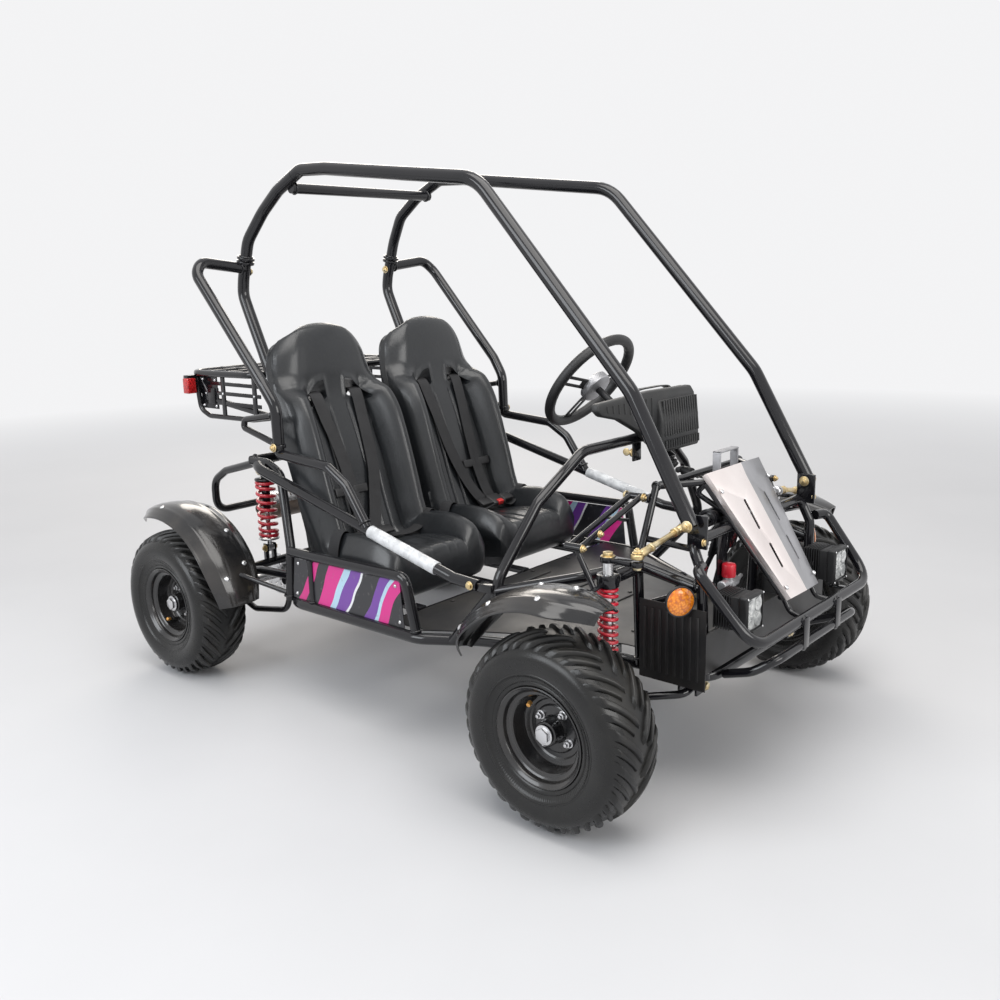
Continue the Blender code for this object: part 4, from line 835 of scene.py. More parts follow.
# Mudguards
# Crowned guards of gloss black plastic, drawn in at both tips. A rolled lip stiffens the edge
# and pan-head screws hold each guard to its stay.
guard_plastic = Coat("gloss_black_plastic", "black_plastic", (0.011, 0.011, 0.012), 0.2)
guard_plastic.dusted((0.14, 0.12, 0.1), 0.3)
guard_plastic.worn(18.0, 6.0, 0.26, 0.08)
guard_plastic.grained(70.0, 4.0, 0.05, 0.0015)
guard_plastic.set("Coat Weight", 0.35)


def domed_screw(at, along, size):
    """A pan-head screw: a low dome with a hexagon socket."""
    outline = [(0.0, 0.0), (0.0, size * 0.42), (size * 0.42, size * 0.42), (size * 0.52, size * 0.62),
        (size * 0.8, size * 0.5), (size, size * 0.22), (size, 0.0)]
    return lathe(outline, at, along, 24)


def droop(aside):
    """How far a guard falls away from its middle line, on the outer and the inner side."""
    return 0.03 * aside ** 2.6 if aside > 0 else 0.0175 * abs(aside) ** 2.2


def thicken(sheet, thickness, offset=-1.0, even=True):
    return reshaped(sheet, "SOLIDIFY", thickness=thickness, offset=offset, use_even_offset=even)


def guard_shape(side, axle_y, half_track, radius, start, end, first, last):
    """The guard's sheet, whose two ends are drawn in to a share of its width."""
    def point(across, along):
        turn = radians(start + (end - start) * along)
        ease_in = min(1.0, along * 4.2)
        ease_out = min(1.0, (1 - along) * 4.2)
        aside = (across - 0.5) * 2
        near = first[0] if aside > 0 else first[1]
        drawn = min(near + (1 - near) * sin(ease_in * pi / 2), last + (1 - last) * sin(ease_out * pi / 2))
        lip = 0.003 * max(0.0, (abs(aside) - 0.9) / 0.1)
        reach = radius - 0.0008 - droop(aside) + lip
        ridge = 0.002 * (1.0 / (1.0 + (abs(abs(aside) - 0.62) / 0.05) ** 4))
        reach += ridge
        return (side * (half_track + aside * 0.0715 * drawn), axle_y - cos(turn) * reach,
            AXLE_HEIGHT + sin(turn) * reach)
    return point


guard_kinds = (("front", 0.266, 67, 157, (0.22, 0.72), 0.3,
    ((92, 0.6), (119, 0.6), (142, 0.5), (86, -0.5), (104, -0.5))),
    ("rear", 0.262, 8, 122, (0.75, 0.75), 0.35, ((24, 0.4), (30, -0.45), (52, -0.45), (92, 0.55))))
for end, radius, start, stop, first, last, places in guard_kinds:
    axle_y, half_track = axle_lines[end]
    for name, side in SIDES:
        sheet = drawn_grid(37, 57, guard_shape(side, axle_y, half_track, radius, start, stop, first,
            last))
        thicken(sheet, 0.0034, -side)
        finish_piece(f"{end}_mudguard_{name}", [sheet], guard_plastic, f"{end}_fender_{name}",
            edge=0.0006, angle=40)
        parts = []
        for degrees, aside in places:
            turn = radians(degrees)
            line = Vector((0, -cos(turn), sin(turn)))
            spot = Vector((side * (half_track + aside * 0.072), axle_y, AXLE_HEIGHT))
            spot += line * (radius - 0.0012 - droop(aside))
            facing = (line + Vector((side * 0.9, 0, 0)) * max(0.0, aside)).normalized()
            parts.append(domed_screw(spot, facing, 0.0062))
        finish_piece(f"{end}_guard_screws_{name}", parts, bright_steel, edge=0)


# Seats
# Two bucket seats of foam under grained black vinyl. The bolsters are sewn on beside a flat
# middle panel with two vertical channels, and belt slots open below the headrest.
def smooth_sections(sections, part):
    """Reads a run of sections at any place between its ends, without kinks."""
    last = len(sections) - 1
    place = part * last
    index = min(int(place), last - 1)
    t = place - index
    knots = [sections[min(max(index + offset, 0), last)] for offset in (-1, 0, 1, 2)]
    return [0.5 * (2 * b + (c - a) * t + (2 * a - 5 * b + 4 * c - d) * t * t
                   + (3 * b - a - 3 * c + d) * t ** 3) for a, b, c, d in zip(*knots)]


# Along the bucket: y, z, half width, bolster height, thickness, width of the flat middle
seat_sections = [(-0.052, 0.346, 0.15, 0.008, 0.074, 0.56), (-0.036, 0.37, 0.163, 0.02, 0.098, 0.56),
    (0.01, 0.375, 0.171, 0.036, 0.11, 0.56), (0.06, 0.372, 0.174, 0.046, 0.112, 0.56),
    (0.11, 0.365, 0.175, 0.05, 0.104, 0.56), (0.152, 0.36, 0.175, 0.052, 0.094, 0.56),
    (0.186, 0.374, 0.174, 0.052, 0.072, 0.56), (0.206, 0.42, 0.173, 0.052, 0.058, 0.56),
    (0.225, 0.475, 0.175, 0.054, 0.052, 0.56), (0.243, 0.535, 0.176, 0.054, 0.05, 0.56),
    (0.27, 0.61, 0.176, 0.058, 0.05, 0.55), (0.291, 0.662, 0.175, 0.059, 0.053, 0.54),
    (0.312, 0.71, 0.17, 0.05, 0.058, 0.52), (0.325, 0.755, 0.162, 0.03, 0.064, 0.5),
    (0.332, 0.797, 0.153, 0.014, 0.071, 0.5), (0.338, 0.832, 0.144, 0.006, 0.075, 0.5),
    (0.346, 0.86, 0.129, 0.002, 0.071, 0.5), (0.356, 0.879, 0.108, 0.001, 0.057, 0.5),
    (0.368, 0.887, 0.076, 0.0, 0.036, 0.5)]
slot_height = 0.735
slot_outline = [Vector(corner) for corner in ((0.031, -0.019), (0.09, -0.04), (0.106, -0.028),
    (0.058, 0.018), (0.034, 0.024))]


def slot_reach(x, z):
    """How far a place on the backrest lies from the edge of the nearer belt slot."""
    spot = Vector((abs(x), z - slot_height))
    nearest = 1.0
    for a, b in zip(slot_outline, slot_outline[1:] + slot_outline[:1]):
        part = min(max((spot - a).dot(b - a) / (b - a).length_squared, 0.0), 1.0)
        nearest = min(nearest, (spot - a - (b - a) * part).length)
    return nearest


def groove(distance, width):
    return 1.0 / (1.0 + (distance / width) ** 4)


def seat_shape(centre_x):
    """The closed skin of one bucket: across runs round a section, along from knee to crown."""
    def point(around, along):
        y, z, half, bolster, depth, flat = smooth_sections(seat_sections, along)
        before = smooth_sections(seat_sections, max(along - 0.01, 0.0))
        after = smooth_sections(seat_sections, min(along + 0.01, 1.0))
        line = Vector((0.0, after[0] - before[0], after[1] - before[1])).normalized()
        if along < 0.08:
            line = Vector((0.0, 1.0, 0.0))
        nose = min(1.0, along / 0.08)
        swell = (1 - (1 - nose) ** 2) ** 0.5
        half *= 0.88 + 0.12 * swell
        facing = Vector((0.0, -line.z, line.y))
        front = around < 0.68
        if front:
            part = around / 0.68 * 2 - 1
            aside = abs(part)
            wide = part
            sewn = min(1.0, max(0.0, (0.66 - along) / 0.03))
            pillow = min(1.0, max(0.0, (along - 0.66) / 0.1))
            pillow = pillow * pillow * (3 - 2 * pillow)
            if aside < flat:
                lift = 0.005 * (1 - (aside / flat) ** 2)
                for channel in (0.17, 0.36):
                    lift -= 0.0042 * sewn * groove(aside - channel, 0.016) * min(1.0, along / 0.12)
            else:
                rise = (aside - flat) / (1 - flat)
                lift = bolster * sin(min(rise * 1.55, 1.0) * pi / 2) ** 1.3
                lift -= max(0.0, rise - 0.72) / 0.28 * (0.42 * depth + 0.35 * bolster) * (rise - 0.2)
                wide = part - (0.035 * sin(rise * pi) if part > 0 else -0.035 * sin(rise * pi))
            lift -= 0.008 * groove(aside - flat, 0.016) * sewn * min(1.0, along / 0.1)
            dome = 0.012 * (1 - aside ** 2) - (0.004 + 0.34 * depth) * max(0.0,
                (aside - 0.66) / 0.34) ** 2.2
            lift += (dome - lift) * pillow
            if aside > 0.97:
                lift -= 0.002
            if abs(z - slot_height) < 0.075 and aside < 0.95:
                lift += 0.0042 * exp(-(slot_reach(wide * half, z) / 0.0075) ** 2)
            lift = lift * swell - 0.45 * depth * (1 - swell)
        else:
            part = 1 - (around - 0.68) / 0.32 * 2
            lean = abs(part)
            wide = (1.0 - 0.17 * (1 - lean ** 4)) * (1 if part > 0 else -1) * min(1.0, lean * 1.35) ** 0.8
            lift = -depth + 0.26 * depth * max(0.0, (lean - 0.62) / 0.38) ** 2
            lift = lift * swell - 0.45 * depth * (1 - swell)
        seam = 0.0022 * groove((along - 0.3) * 10, 0.1) if front and abs(wide) < flat + 0.05 else 0.0
        if front and abs(wide) > flat:
            seam += 0.0034 * groove((along - 0.665 - 0.05 * abs(wide)) * 10, 0.05)
        centre = Vector((centre_x, y, z))
        made = centre + Vector((wide * half, 0, 0)) + facing * (lift - seam)
        made.z = max(made.z, 0.2682)
        return made
    return point


vinyl = Coat("black_grained_vinyl", "vinyl", (0.01, 0.011, 0.013), 0.32)
grain = vinyl.cells(620.0, "DISTANCE_TO_EDGE")
creases = vinyl.ramp(vinyl.noise(11.0, 6.0, (1.0, 1.0, 0.45)), (0.47, 0.0), (0.5, 1.0), (0.53, 0.0))
shine = vinyl.noise(6.0, 4.0)
vinyl.feed("Base Color", vinyl.mix(vinyl.noise(5.0, 5.0), (0.007, 0.008, 0.009, 1.0),
    (0.017, 0.019, 0.022, 1.0)))
vinyl.feed("Roughness", shine * 0.22 + grain * 0.5 + 0.15)
vinyl.bump(grain * 1.6 - creases * 0.3, 0.16, 0.0008)
vinyl.set("Specular IOR Level", 0.45)
vinyl.set("Coat Weight", 0.35)
vinyl.set("Coat Roughness", 0.2)
belt_plastic = Coat("satin_black_plastic", "black_plastic", (0.016, 0.016, 0.017), 0.4)
belt_plastic.worn(40.0, 5.0, 0.2, 0.3)
belt_plastic.grained(600.0, 2.0, 0.12, 0.0006)


def extruded(corners, push, *steps):
    """A flat outline pushed out to a solid, with further mesh tools at the end."""
    clear_hands()
    bpy.ops.mesh.primitive_circle_add(vertices=len(corners), fill_type="NGON")
    made = bpy.context.object
    for vertex, corner in zip(made.data.vertices, corners):
        vertex.co = corner
    move = {"TRANSFORM_OT_translate": {"value": push}}
    return worked(made, ("extrude_region_move", move), FACE_OUT, *steps)


def slot_tool(centre_x, hand):
    """A prism with the slot's outline, which is cut through the back."""
    corners = [(centre_x + hand * x, 0.0, slot_height + z) for x, z in slot_outline]
    made = extruded(corners, (0, 0.16, 0), ("bevel",
        {"offset": 0.0055, "segments": 3, "affect": "EDGES"}))
    made.data.transform(Matrix.Translation((0, 0.225, 0)))
    return made


def cut_out(piece, tool):
    reshaped(piece, "BOOLEAN", operation="DIFFERENCE", object=tool, solver="EXACT")
    bpy.data.objects.remove(tool)


for name, side in SIDES:
    centre_x = side * SEAT_ASIDE
    bucket = drawn_grid(159, 139, seat_shape(centre_x))
    bpy.ops.object.mode_set(mode="EDIT")
    bpy.ops.mesh.select_all(action="SELECT")
    bpy.ops.mesh.remove_doubles(threshold=0.0004)
    bpy.ops.mesh.select_all(action="DESELECT")
    bpy.ops.mesh.select_non_manifold(extend=False)
    bpy.ops.mesh.fill_holes(sides=0)
    bpy.ops.mesh.select_all(action="SELECT")
    bpy.ops.mesh.normals_make_consistent(inside=False)
    bpy.ops.object.mode_set(mode="OBJECT")
    for hand in (-1, 1):
        cut_out(bucket, slot_tool(centre_x, hand))
    finish_piece(f"seat_cover_{name}", [bucket], vinyl, f"seat_{name}", edge=0, angle=50)

# Nose cowl
# A folded plate of brushed aluminium with a centre ridge and two pressed slots in each half. One half is
# painted pale as if lit and the other grey as if in shade.
# Countersunk screws fix its edges to a black backing frame.
brushed = Coat("brushed_aluminium", "aluminium", (0.74, 0.68, 0.67), 0.3, 0.8)
streaks = brushed.noise(30.0, 5.0, (22.0, 1.0, 1.0))
mottle = brushed.noise(14.0, 4.0)
# The same metal is coloured in two ways: the half with x below zero is painted pale pinkish as painted
# light, and the half with x above zero is painted grey as painted shade.
shaded_half_mask = brushed.axis(0).over(0.0)
painted_lit_half = brushed.ramp(mottle, (0.25, (0.78, 0.71, 0.69)), (0.75, (0.88, 0.82, 0.8)))
painted_shaded_half = brushed.ramp(mottle, (0.25, (0.34, 0.34, 0.35)), (0.75, (0.44, 0.44, 0.46)))
brushed.feed("Base Color", brushed.mix(shaded_half_mask, painted_lit_half, painted_shaded_half))
brushed.feed("Roughness", streaks * 0.3 + 0.2)
brushed.bump(streaks, 0.06, 0.0006)
cowl_top = Vector((0.112, -0.706, 0.612))
cowl_low = Vector((0.064, -0.87, 0.373))
cowl_back = Vector((0.0, 0.825, -0.566)) * 0.012
ridge = [Vector((0.0, -0.722, 0.619)), Vector((0.0, -0.735, 0.594)), Vector((0.0, -0.8745, 0.3755))]


def cowl_point(across, along):
    side = -1 if across < 0.5 else 1
    column = round(abs(across - 0.5) * 4, 3)
    row = round(along * 2)
    edge = [cowl_top, cowl_top.lerp(cowl_low, 0.1), cowl_low][row]
    if column > 1.5:
        edge = edge + cowl_back
    elif column < 0.5:
        return ridge[row]
    return (side * edge.x, edge.y, edge.z)


cowl = drawn_grid(4, 2, cowl_point)
worked(cowl, FACE_OUT)
if cowl.data.polygons[3].normal.y > 0:
    cowl.data.flip_normals()
thicken(cowl, 0.0026, -1)


def ridge_frame(part, hand):
    """Where a slot sits on one half of the cowl: its place, its run down and its normal."""
    top, low = ridge[1], ridge[2]
    outer_top = Vector((hand * 0.1072, -0.7224, 0.5881))
    outer_low = Vector((hand * 0.064, -0.87, 0.373))
    inner, outer = top.lerp(low, part), outer_top.lerp(outer_low, part)
    run = (low - top).normalized()
    normal = (outer - inner).cross(run).normalized()
    if normal.y > 0:
        normal = -normal
    return inner.lerp(outer, 0.46), run, normal


for part, reach in ((0.3, 0.03), (0.66, 0.024)):
    for hand in (-1, 1):
        spot, run, normal = ridge_frame(part, hand)
        clear_hands()
        bpy.ops.mesh.primitive_cylinder_add(vertices=24, radius=0.0036, depth=0.02)
        cutter = bpy.context.object
        for vertex in cutter.data.vertices:
            vertex.co.y += reach if vertex.co.y > 0.0001 else -reach
        aside = run.cross(normal)
        cutter.data.transform(Matrix(((aside.x, run.x, normal.x, spot.x),
            (aside.y, run.y, normal.y, spot.y), (aside.z, run.z, normal.z, spot.z), (0, 0, 0, 1))))
        cut_out(cowl, cutter)
finish_piece("cowl_plate", [cowl], brushed, "nose_cowl", edge=0.0009)
parts = []
for hand in (-1, 1):
    edge_top, edge_low = Vector((hand * 0.108, -0.708, 0.601)), Vector((hand * 0.06, -0.868, 0.37))
    behind = Vector((0, 0.01, -0.0068))
    start, end = edge_top.lerp(edge_low, 0.02) + behind, edge_top.lerp(edge_low, 0.98) + behind
    parts += [turned_bar(start, end, 0.0058, 20),
        bent_tube([end, end + Vector((0, -0.012, -0.022)), (hand * 0.071, -0.9055, 0.338)], 0.0056,
        bend=0.02), bent_tube([start, start + Vector((0, 0.02, -0.02)), (hand * 0.06, -0.77, 0.502)],
        0.0056, bend=0.02)]
parts += [turned_bar((-0.1, -0.706, 0.593), (0.1, -0.706, 0.593), 0.0056, 20),
    turned_bar((-0.066, -0.848, 0.372), (0.066, -0.848, 0.372), 0.0056, 20)]
finish_piece("cowl_backing", parts, gloss_black)
parts = []
for hand in (-1, 1):
    for part in (0.06, 0.93):
        spot = Vector((hand * 0.103, -0.724, 0.589)).lerp(Vector((hand * 0.06, -0.868, 0.378)), part)
        parts.append(domed_screw(spot + Vector((0, -0.0022, 0.0008)), (0, -0.82, 0.57), 0.0046))
finish_piece("cowl_screws", parts, bright_steel, edge=0)

# Front bumper
# A hoop below the lamps and a lower nerf bar are joined by two flat straps. All of it is
# bent tube in the same black powder coat.
parts = [right_to_left([(0.2515, -0.777, 0.467), (0.286, -0.788, 0.466), (0.268, -0.8965, 0.337)], 0.0108,
    bend=0.06), right_to_left([(0.19, -0.797, 0.24), (0.2, -0.86, 0.262), (0.18, -0.9015, 0.29)], 0.009,
    bend=0.05)]
for side in (-1, 1):
    parts += [side_block(side, (0.064, -0.911, 0.284), (0.088, -0.9075, 0.345)),
        side_block(side, (0.19, -0.892, 0.327), (0.208, -0.842, 0.331))]
    for z in (0.2905, 0.337):
        parts.append(weld((side * 0.076, -0.906, z), (0, 1, 0), 0.0105))
finish_piece("bumper_hoop", parts, gloss_black, "front_bumper")
parts = []
for side in (-1, 1):
    for z in (0.3, 0.33):
        parts += nut((side * 0.076, -0.9106, z), (0, -1, 0), 0.0046, 0.0002, False)
finish_piece("strap_marks", parts, bright_steel, edge=0)

# Headlamps
# Square work lamps: a finned cast housing, a rounded bezel and a clear lens over four
# reflectors. Each stands on a bracket behind the bumper hoop.
lamp_black = Coat("finned_lamp_casting", "black_plastic", (0.018, 0.018, 0.019), 0.45, 0.3)
lamp_black.worn(80.0, 4.0, 0.25, 0.32)
lamp_black.grained(500.0, 3.0, 0.2, 0.0006)
clear_lens = Coat("clear_lamp_lens", "aluminium", (0.8, 0.81, 0.8), 0.12)
cell = clear_lens.cells(75.0)
clear_lens.feed("Base Color", clear_lens.ramp(cell, (0.0, (0.92, 0.92, 0.88)), (0.35, (0.62, 0.63, 0.62)),
    (0.8, (0.34, 0.35, 0.35))))
clear_lens.feed("Roughness", cell * 0.15 + 0.07)
clear_lens.bump(cell, 0.35, 0.0015)
clear_lens.set("Coat Weight", 0.6)


def block_about(centre, half_width, near, far, half_height):
    """A block that reaches as far right of a centre as left of it, and as far up as down."""
    return cut_block(centre + Vector((-half_width, near, -half_height)),
        centre + Vector((half_width, far, half_height)))


for name, side in SIDES:
    centre = Vector((side * 0.199, -0.855, 0.379))
    bezel = block_about(centre, 0.034, -0.008, 0.012, 0.037)
    worked(bezel, ("bevel", {"offset": 0.005, "segments": 4, "affect": "EDGES"}))
    cut_out(bezel, block_about(centre, 0.0285, -0.02, -0.003, 0.0315))
    parts = [bezel, block_about(centre, 0.029, 0.01, 0.03, 0.032),
        block_about(centre, 0.02, 0.028, 0.066, 0.024)]
    for index in range(7):
        low = centre + Vector((-0.031, 0.03 + index * 0.0053, -0.034))
        parts.append(cut_block(low, low + Vector((0.062, 0.0022, 0.068))))
    parts.append(turned_bar(centre + Vector((0, 0.004, -0.034)), centre + Vector((0, 0.004, -0.0477)),
        0.008))
    finish_piece(f"work_lamp_{name}", parts, lamp_black, f"headlight_{name}", edge=0.0007)
    parts = []
    for x in (-1, 1):
        for z in (-1, 1):
            spot = centre + Vector((x * 0.014, -0.0036, z * 0.015))
            bowl = [(0.0, 0.0), (0.0, 0.0026), (0.0042, 0.003), (0.0052, 0.0016), (0.0125, 0.004),
                (0.0135, 0.0038), (0.0135, 0.0)]
            parts.append(lathe(bowl, spot + Vector((0, 0.001, 0)), (0, -1, 0), 28))
    parts.append(block_about(centre, 0.0283, -0.0042, -0.0026, 0.0313))
    finish_piece(f"lamp_reflector_{name}", parts, clear_lens, edge=0.0006)
    corners = [Vector((x * 0.0305, -0.0076, z * 0.0335)) for x in (-1, 1) for z in (-1, 1)]
    screws = [domed_screw(centre + corner, (0, -1, 0), 0.0022) for corner in corners]
    screws += bolt(centre + Vector((side * -0.0205, 0.047, 0.0)), (-side, 0, 0), 0.005, 0.004)
    finish_piece(f"lamp_screws_{name}", screws, bright_steel, edge=0)

# Turn signals
# A domed amber lens with moulded prisms screws to a black cup. The cup stands on a stem
# that is turned outwards.
amber = Coat("amber_lens", "orange", (0.85, 0.25, 0.01), 0.2)
prism = amber.cells(210.0)
amber.feed("Base Color", amber.ramp(prism, (0.0, (1.0, 0.42, 0.03)), (0.45, (0.88, 0.25, 0.01)),
    (0.9, (0.55, 0.12, 0.01))))
amber.feed("Roughness", prism * 0.2 + 0.1)
amber.bump(prism, 0.5, 0.0012)
amber.set("Coat Weight", 0.7)
for name, side in SIDES:
    centre = Vector((side * 0.29, -0.757, 0.404))
    facing = Vector((side * 0.55, -0.835, 0.0)).normalized()
    dome = [(0.0, -0.004), (0.0, 0.006), (0.009, 0.0056), (0.018, 0.0042), (0.0245, 0.0018),
        (0.028, -0.0015), (0.0282, -0.004)]
    finish_piece(f"amber_dome_{name}", [lathe(dome, centre, facing, 64)], amber, f"turn_signal_{name}",
        edge=0)
    cup = [(0.0, -0.02), (0.01, -0.02), (0.02, -0.016), (0.027, -0.011), (0.03, -0.006), (0.0302, -0.001),
        (0.0292, -0.0002), (0.0276, -0.0006), (0.0, -0.0035)]
    parts = [lathe(cup, centre, facing, 64), turned_bar(centre - facing * 0.04, centre - facing * 0.018,
        0.01)]
    for step in range(3):
        parts.append(turned_bar(centre - facing * (0.022 + step * 0.005),
            centre - facing * (0.0245 + step * 0.005), 0.0118))
    finish_piece(f"signal_cup_{name}", parts, belt_plastic, edge=0.0005)


# Dash pod
# A hooded instrument housing of textured black plastic with a fluted front. Its round gauge
# and two warning lamps face the driver.
def side_profile(outline, low, high, rounding):
    """A block with an outline in the YZ plane, its edges rounded."""
    corners = [(low, y, z) for y, z in outline]
    return extruded(corners, (high - low, 0, 0),
        ("bevel", {"offset": rounding, "segments": 4, "affect": "EDGES"}))


pod_plastic = Coat("textured_black_plastic", "black_plastic", (0.02, 0.021, 0.022), 0.5)
pod_grain = pod_plastic.cells(650.0)
pod_plastic.dusted((0.16, 0.15, 0.14), 0.25)
pod_plastic.worn(30.0, 4.0, 0.2, 0.38)
pod_plastic.bump(pod_grain, 0.25, 0.0008)
pod_outline = [(-0.408, 0.6512), (-0.416, 0.722), (-0.44, 0.742), (-0.462, 0.74), (-0.482, 0.722),
    (-0.492, 0.68), (-0.494, 0.606), (-0.464, 0.6), (-0.4525, 0.6512)]
parts = [side_profile(pod_outline, 0.07, 0.232, 0.006)]
fascia_outline = [(-0.16, 0.74), (-0.162, 0.724), (-0.146, 0.712), (-0.08, 0.697), (-0.005, 0.662),
    (0.04, 0.63), (0.076, 0.606), (0.228, 0.606), (0.234, 0.64), (0.232, 0.728), (0.214, 0.745),
    (0.04, 0.748)]
fascia = side_profile(fascia_outline, 0.462, 0.48, 0.005)
fascia.data.transform(Matrix.Rotation(radians(-90), 4, "Z"))
parts.append(fascia)
for index in range(15):
    x = 0.084 + index * 0.01
    for top, low in ((0.722, 0.642), (0.632, 0.614)):
        path = [(x, -0.486 - (0.722 - top) * 0.1, top), (x, -0.4938 - (0.722 - top) * 0.02, low)]
        parts.append(bent_tube(path, 0.003, bend=0.05, sides=3))
for index in range(9):
    x = -0.128 + index * 0.0215
    parts.append(bent_tube([(x, -0.4795, 0.732), (x + 0.004, -0.4795, 0.718 - index * 0.0035)], 0.0026,
        bend=0.05, sides=3))


def hood_point(across, along):
    arch = (1 - abs(across * 2 - 1) ** 6) ** 0.5
    return (0.066 + 0.17 * across, -0.418 + 0.02 * along, 0.722 + 0.0215 * arch - 0.002 * along)


parts.append(thicken(drawn_grid(24, 10, hood_point), 0.003))
finish_piece("instrument_pod", parts, pod_plastic, "dash_pod", edge=0)
gauge_centre = Vector((0.165, -0.411, 0.688))
bezel_ring = [(0.0255, 0.0), (0.0255, 0.004), (0.027, 0.0055), (0.029, 0.0045), (0.0295, 0.0)]
finish_piece("gauge_bezel", [lathe(bezel_ring, gauge_centre, (0, 1, 0.1), 56)], bright_steel, edge=0)
dial_coat = Coat("printed_gauge_dial", "black_plastic", (0.02, 0.02, 0.022), 0.3)
dial_spot = dial_coat.add("Mapping", {}, Vector=dial_coat.place, Location=tuple(-(gauge_centre + MIDDLE)))
dial_x = dial_coat.axis(0, dial_spot)
dial_z = dial_coat.axis(2, dial_spot)
dial_reach = (dial_x * dial_x + dial_z * dial_z) ** 0.5
dial_turn = dial_coat.add("Math", {"operation": "ARCTAN2"}, _0=dial_x, _1=dial_z)
scale_band = dial_reach.over(0.0195) * dial_reach.under(0.0235)
ticks = (dial_turn * 24.0).wave().over(0.82) * scale_band * dial_turn.math("ABSOLUTE",
    dial_turn).under(2.3)
dial_coat.feed("Base Color", dial_coat.mix(ticks, (0.015, 0.015, 0.017, 1.0), (0.85, 0.85, 0.82, 1.0)))
parts = [turned_bar(gauge_centre - Vector((0, 0.002, 0)), gauge_centre + Vector((0, 0.0022, 0.0002)),
    0.0256, 48)]
finish_piece("gauge_dial", parts, dial_coat, edge=0)
needle = [cut_block(gauge_centre + Vector((-0.0007, 0.003, -0.004)),
    gauge_centre + Vector((0.0007, 0.0038, 0.0195)), Matrix.Rotation(radians(-118), 4, "Y"),
    gauge_centre), turned_bar(gauge_centre + Vector((0, 0.002, 0)), gauge_centre + Vector((0, 0.0052, 0)),
    0.0034, 24)]
finish_piece("gauge_needle", needle, amber, edge=0)
for label, x, colour in (("green", 0.112, (0.03, 0.45, 0.1)), ("amber", 0.218, (0.85, 0.3, 0.02))):
    jewel = Coat(f"{label}_warning_jewel", "orange", colour, 0.15)
    jewel.grained(500.0, 2.0, 0.2, 0.0005)
    bead = [(0.0, 0.0), (0.0, 0.005), (0.003, 0.0044), (0.005, 0.0022), (0.0054, 0.0)]
    finish_piece(f"{label}_warning_lamp", [lathe(bead, (x, -0.4108, 0.688), (0, 1, 0.1), 24)], jewel,
        edge=0)

# Steering wheel
# A padded rim on three black spokes with a bare alloy hub plate. The steel column that it
# turns ends in a universal joint.
rim_grip = Coat("foam_rim_grip", "black_plastic", (0.016, 0.016, 0.017), 0.5)
rim_grip.bump(rim_grip.cells(520.0), 0.35, 0.0008)
rim_grip.worn(20.0, 4.0, 0.3, 0.32)
square_to_column = (-column_line).to_track_quat("Z", "Y").to_matrix().to_4x4()
wheel_place = Matrix.Translation(wheel_centre) @ square_to_column
clear_hands()
bpy.ops.mesh.primitive_torus_add(major_segments=144, minor_segments=20, major_radius=0.128,
    minor_radius=0.0128)
grip = bpy.context.object
for vertex in grip.data.vertices:
    turn = atan2(vertex.co.y, vertex.co.x)
    inward = max(0.0, 0.128 - hypot(vertex.co.x, vertex.co.y)) / 0.0128
    shrink = 1.0 + 0.01 * inward * max(0.0, sin(turn * 34)) * (1.0 if sin(turn) > -0.75 else 0.0)
    vertex.co.x *= shrink
    vertex.co.y *= shrink
grip.data.transform(wheel_place)
parts = [grip]
for turn in (radians(8), radians(172), radians(270)):
    spoke = cut_block((0.03, -0.014, -0.0215), (0.124, 0.014, -0.018))
    cut_out(spoke, cut_block((0.052, -0.0062, -0.04), (0.106, 0.0062, 0.01)))
    spoke.data.transform(wheel_place @ Matrix.Rotation(turn, 4, "Z") @ Matrix.Rotation(radians(-10), 4,
        "Y"))
    parts.append(spoke)
finish_piece("wheel_grip", parts, rim_grip, "steering_wheel", "steering_wheel", edge=0.001)
cast_grey = Coat("sand_cast_alloy", "cast", (0.42, 0.42, 0.43), 0.45, 0.85)
cast_grey.feed("Base Color", cast_grey.ramp(cast_grey.noise(22.0, 6.0), (0.3, (0.32, 0.32, 0.33)),
    (0.7, (0.52, 0.52, 0.54))))
cast_grey.worn(45.0, 5.0, 0.25, 0.34)
cast_grey.grained(260.0, 4.0, 0.3, 0.0008)
black_oxide = Coat("blackened_shaft_steel", "steel", (0.035, 0.035, 0.037), 0.34, 0.6)
black_oxide.worn(50.0, 5.0, 0.3, 0.22)
black_oxide.grained(260.0, 3.0, 0.06, 0.0004)
hub_outline = [(0.0, -0.033), (0.03, -0.033), (0.038, -0.03), (0.04, -0.027), (0.04, -0.012),
    (0.038, -0.0098), (0.03, -0.0092), (0.028, -0.011), (0.015, -0.011), (0.014, -0.0085), (0.0, -0.008)]
parts = [lathe(hub_outline, wheel_centre, -column_line, 56)]
for index in range(6):
    turn = 2 * pi * index / 6
    spot = wheel_place @ Vector((0.0335 * cos(turn), 0.0335 * sin(turn), -0.0095))
    parts.append(domed_screw(spot, -column_line, 0.0036))
finish_piece("wheel_hub_plate", parts, cast_grey, body="steering_wheel", edge=0)
foot = wheel_centre + column_line * 0.3095
parts = [turned_bar(wheel_centre + column_line * 0.028, foot, 0.0088, 32)]
for offset in (0.255, 0.297):
    parts.append(turned_bar(wheel_centre + column_line * offset,
        wheel_centre + column_line * (offset + 0.005), 0.0118, 32))
finish_piece("column_shaft", parts, black_oxide, body="steering_wheel")
parts = [turned_bar(column_foot, pinion_top - pinion_line * 0.0005, 0.0065, 28),
    turned_bar(column_foot + pinion_line * 0.011, column_foot + pinion_line * 0.038, 0.0112, 32),
    turned_bar(column_foot - Vector((0.011, 0, 0)), column_foot + Vector((0.011, 0, 0)), 0.007, 24),
    turned_bar(column_foot + pinion_line * 0.052, column_foot + pinion_line * 0.058, 0.0096, 6)]
finish_piece("pinion_shaft", parts, black_oxide, "intermediate_shaft", "intermediate_shaft")

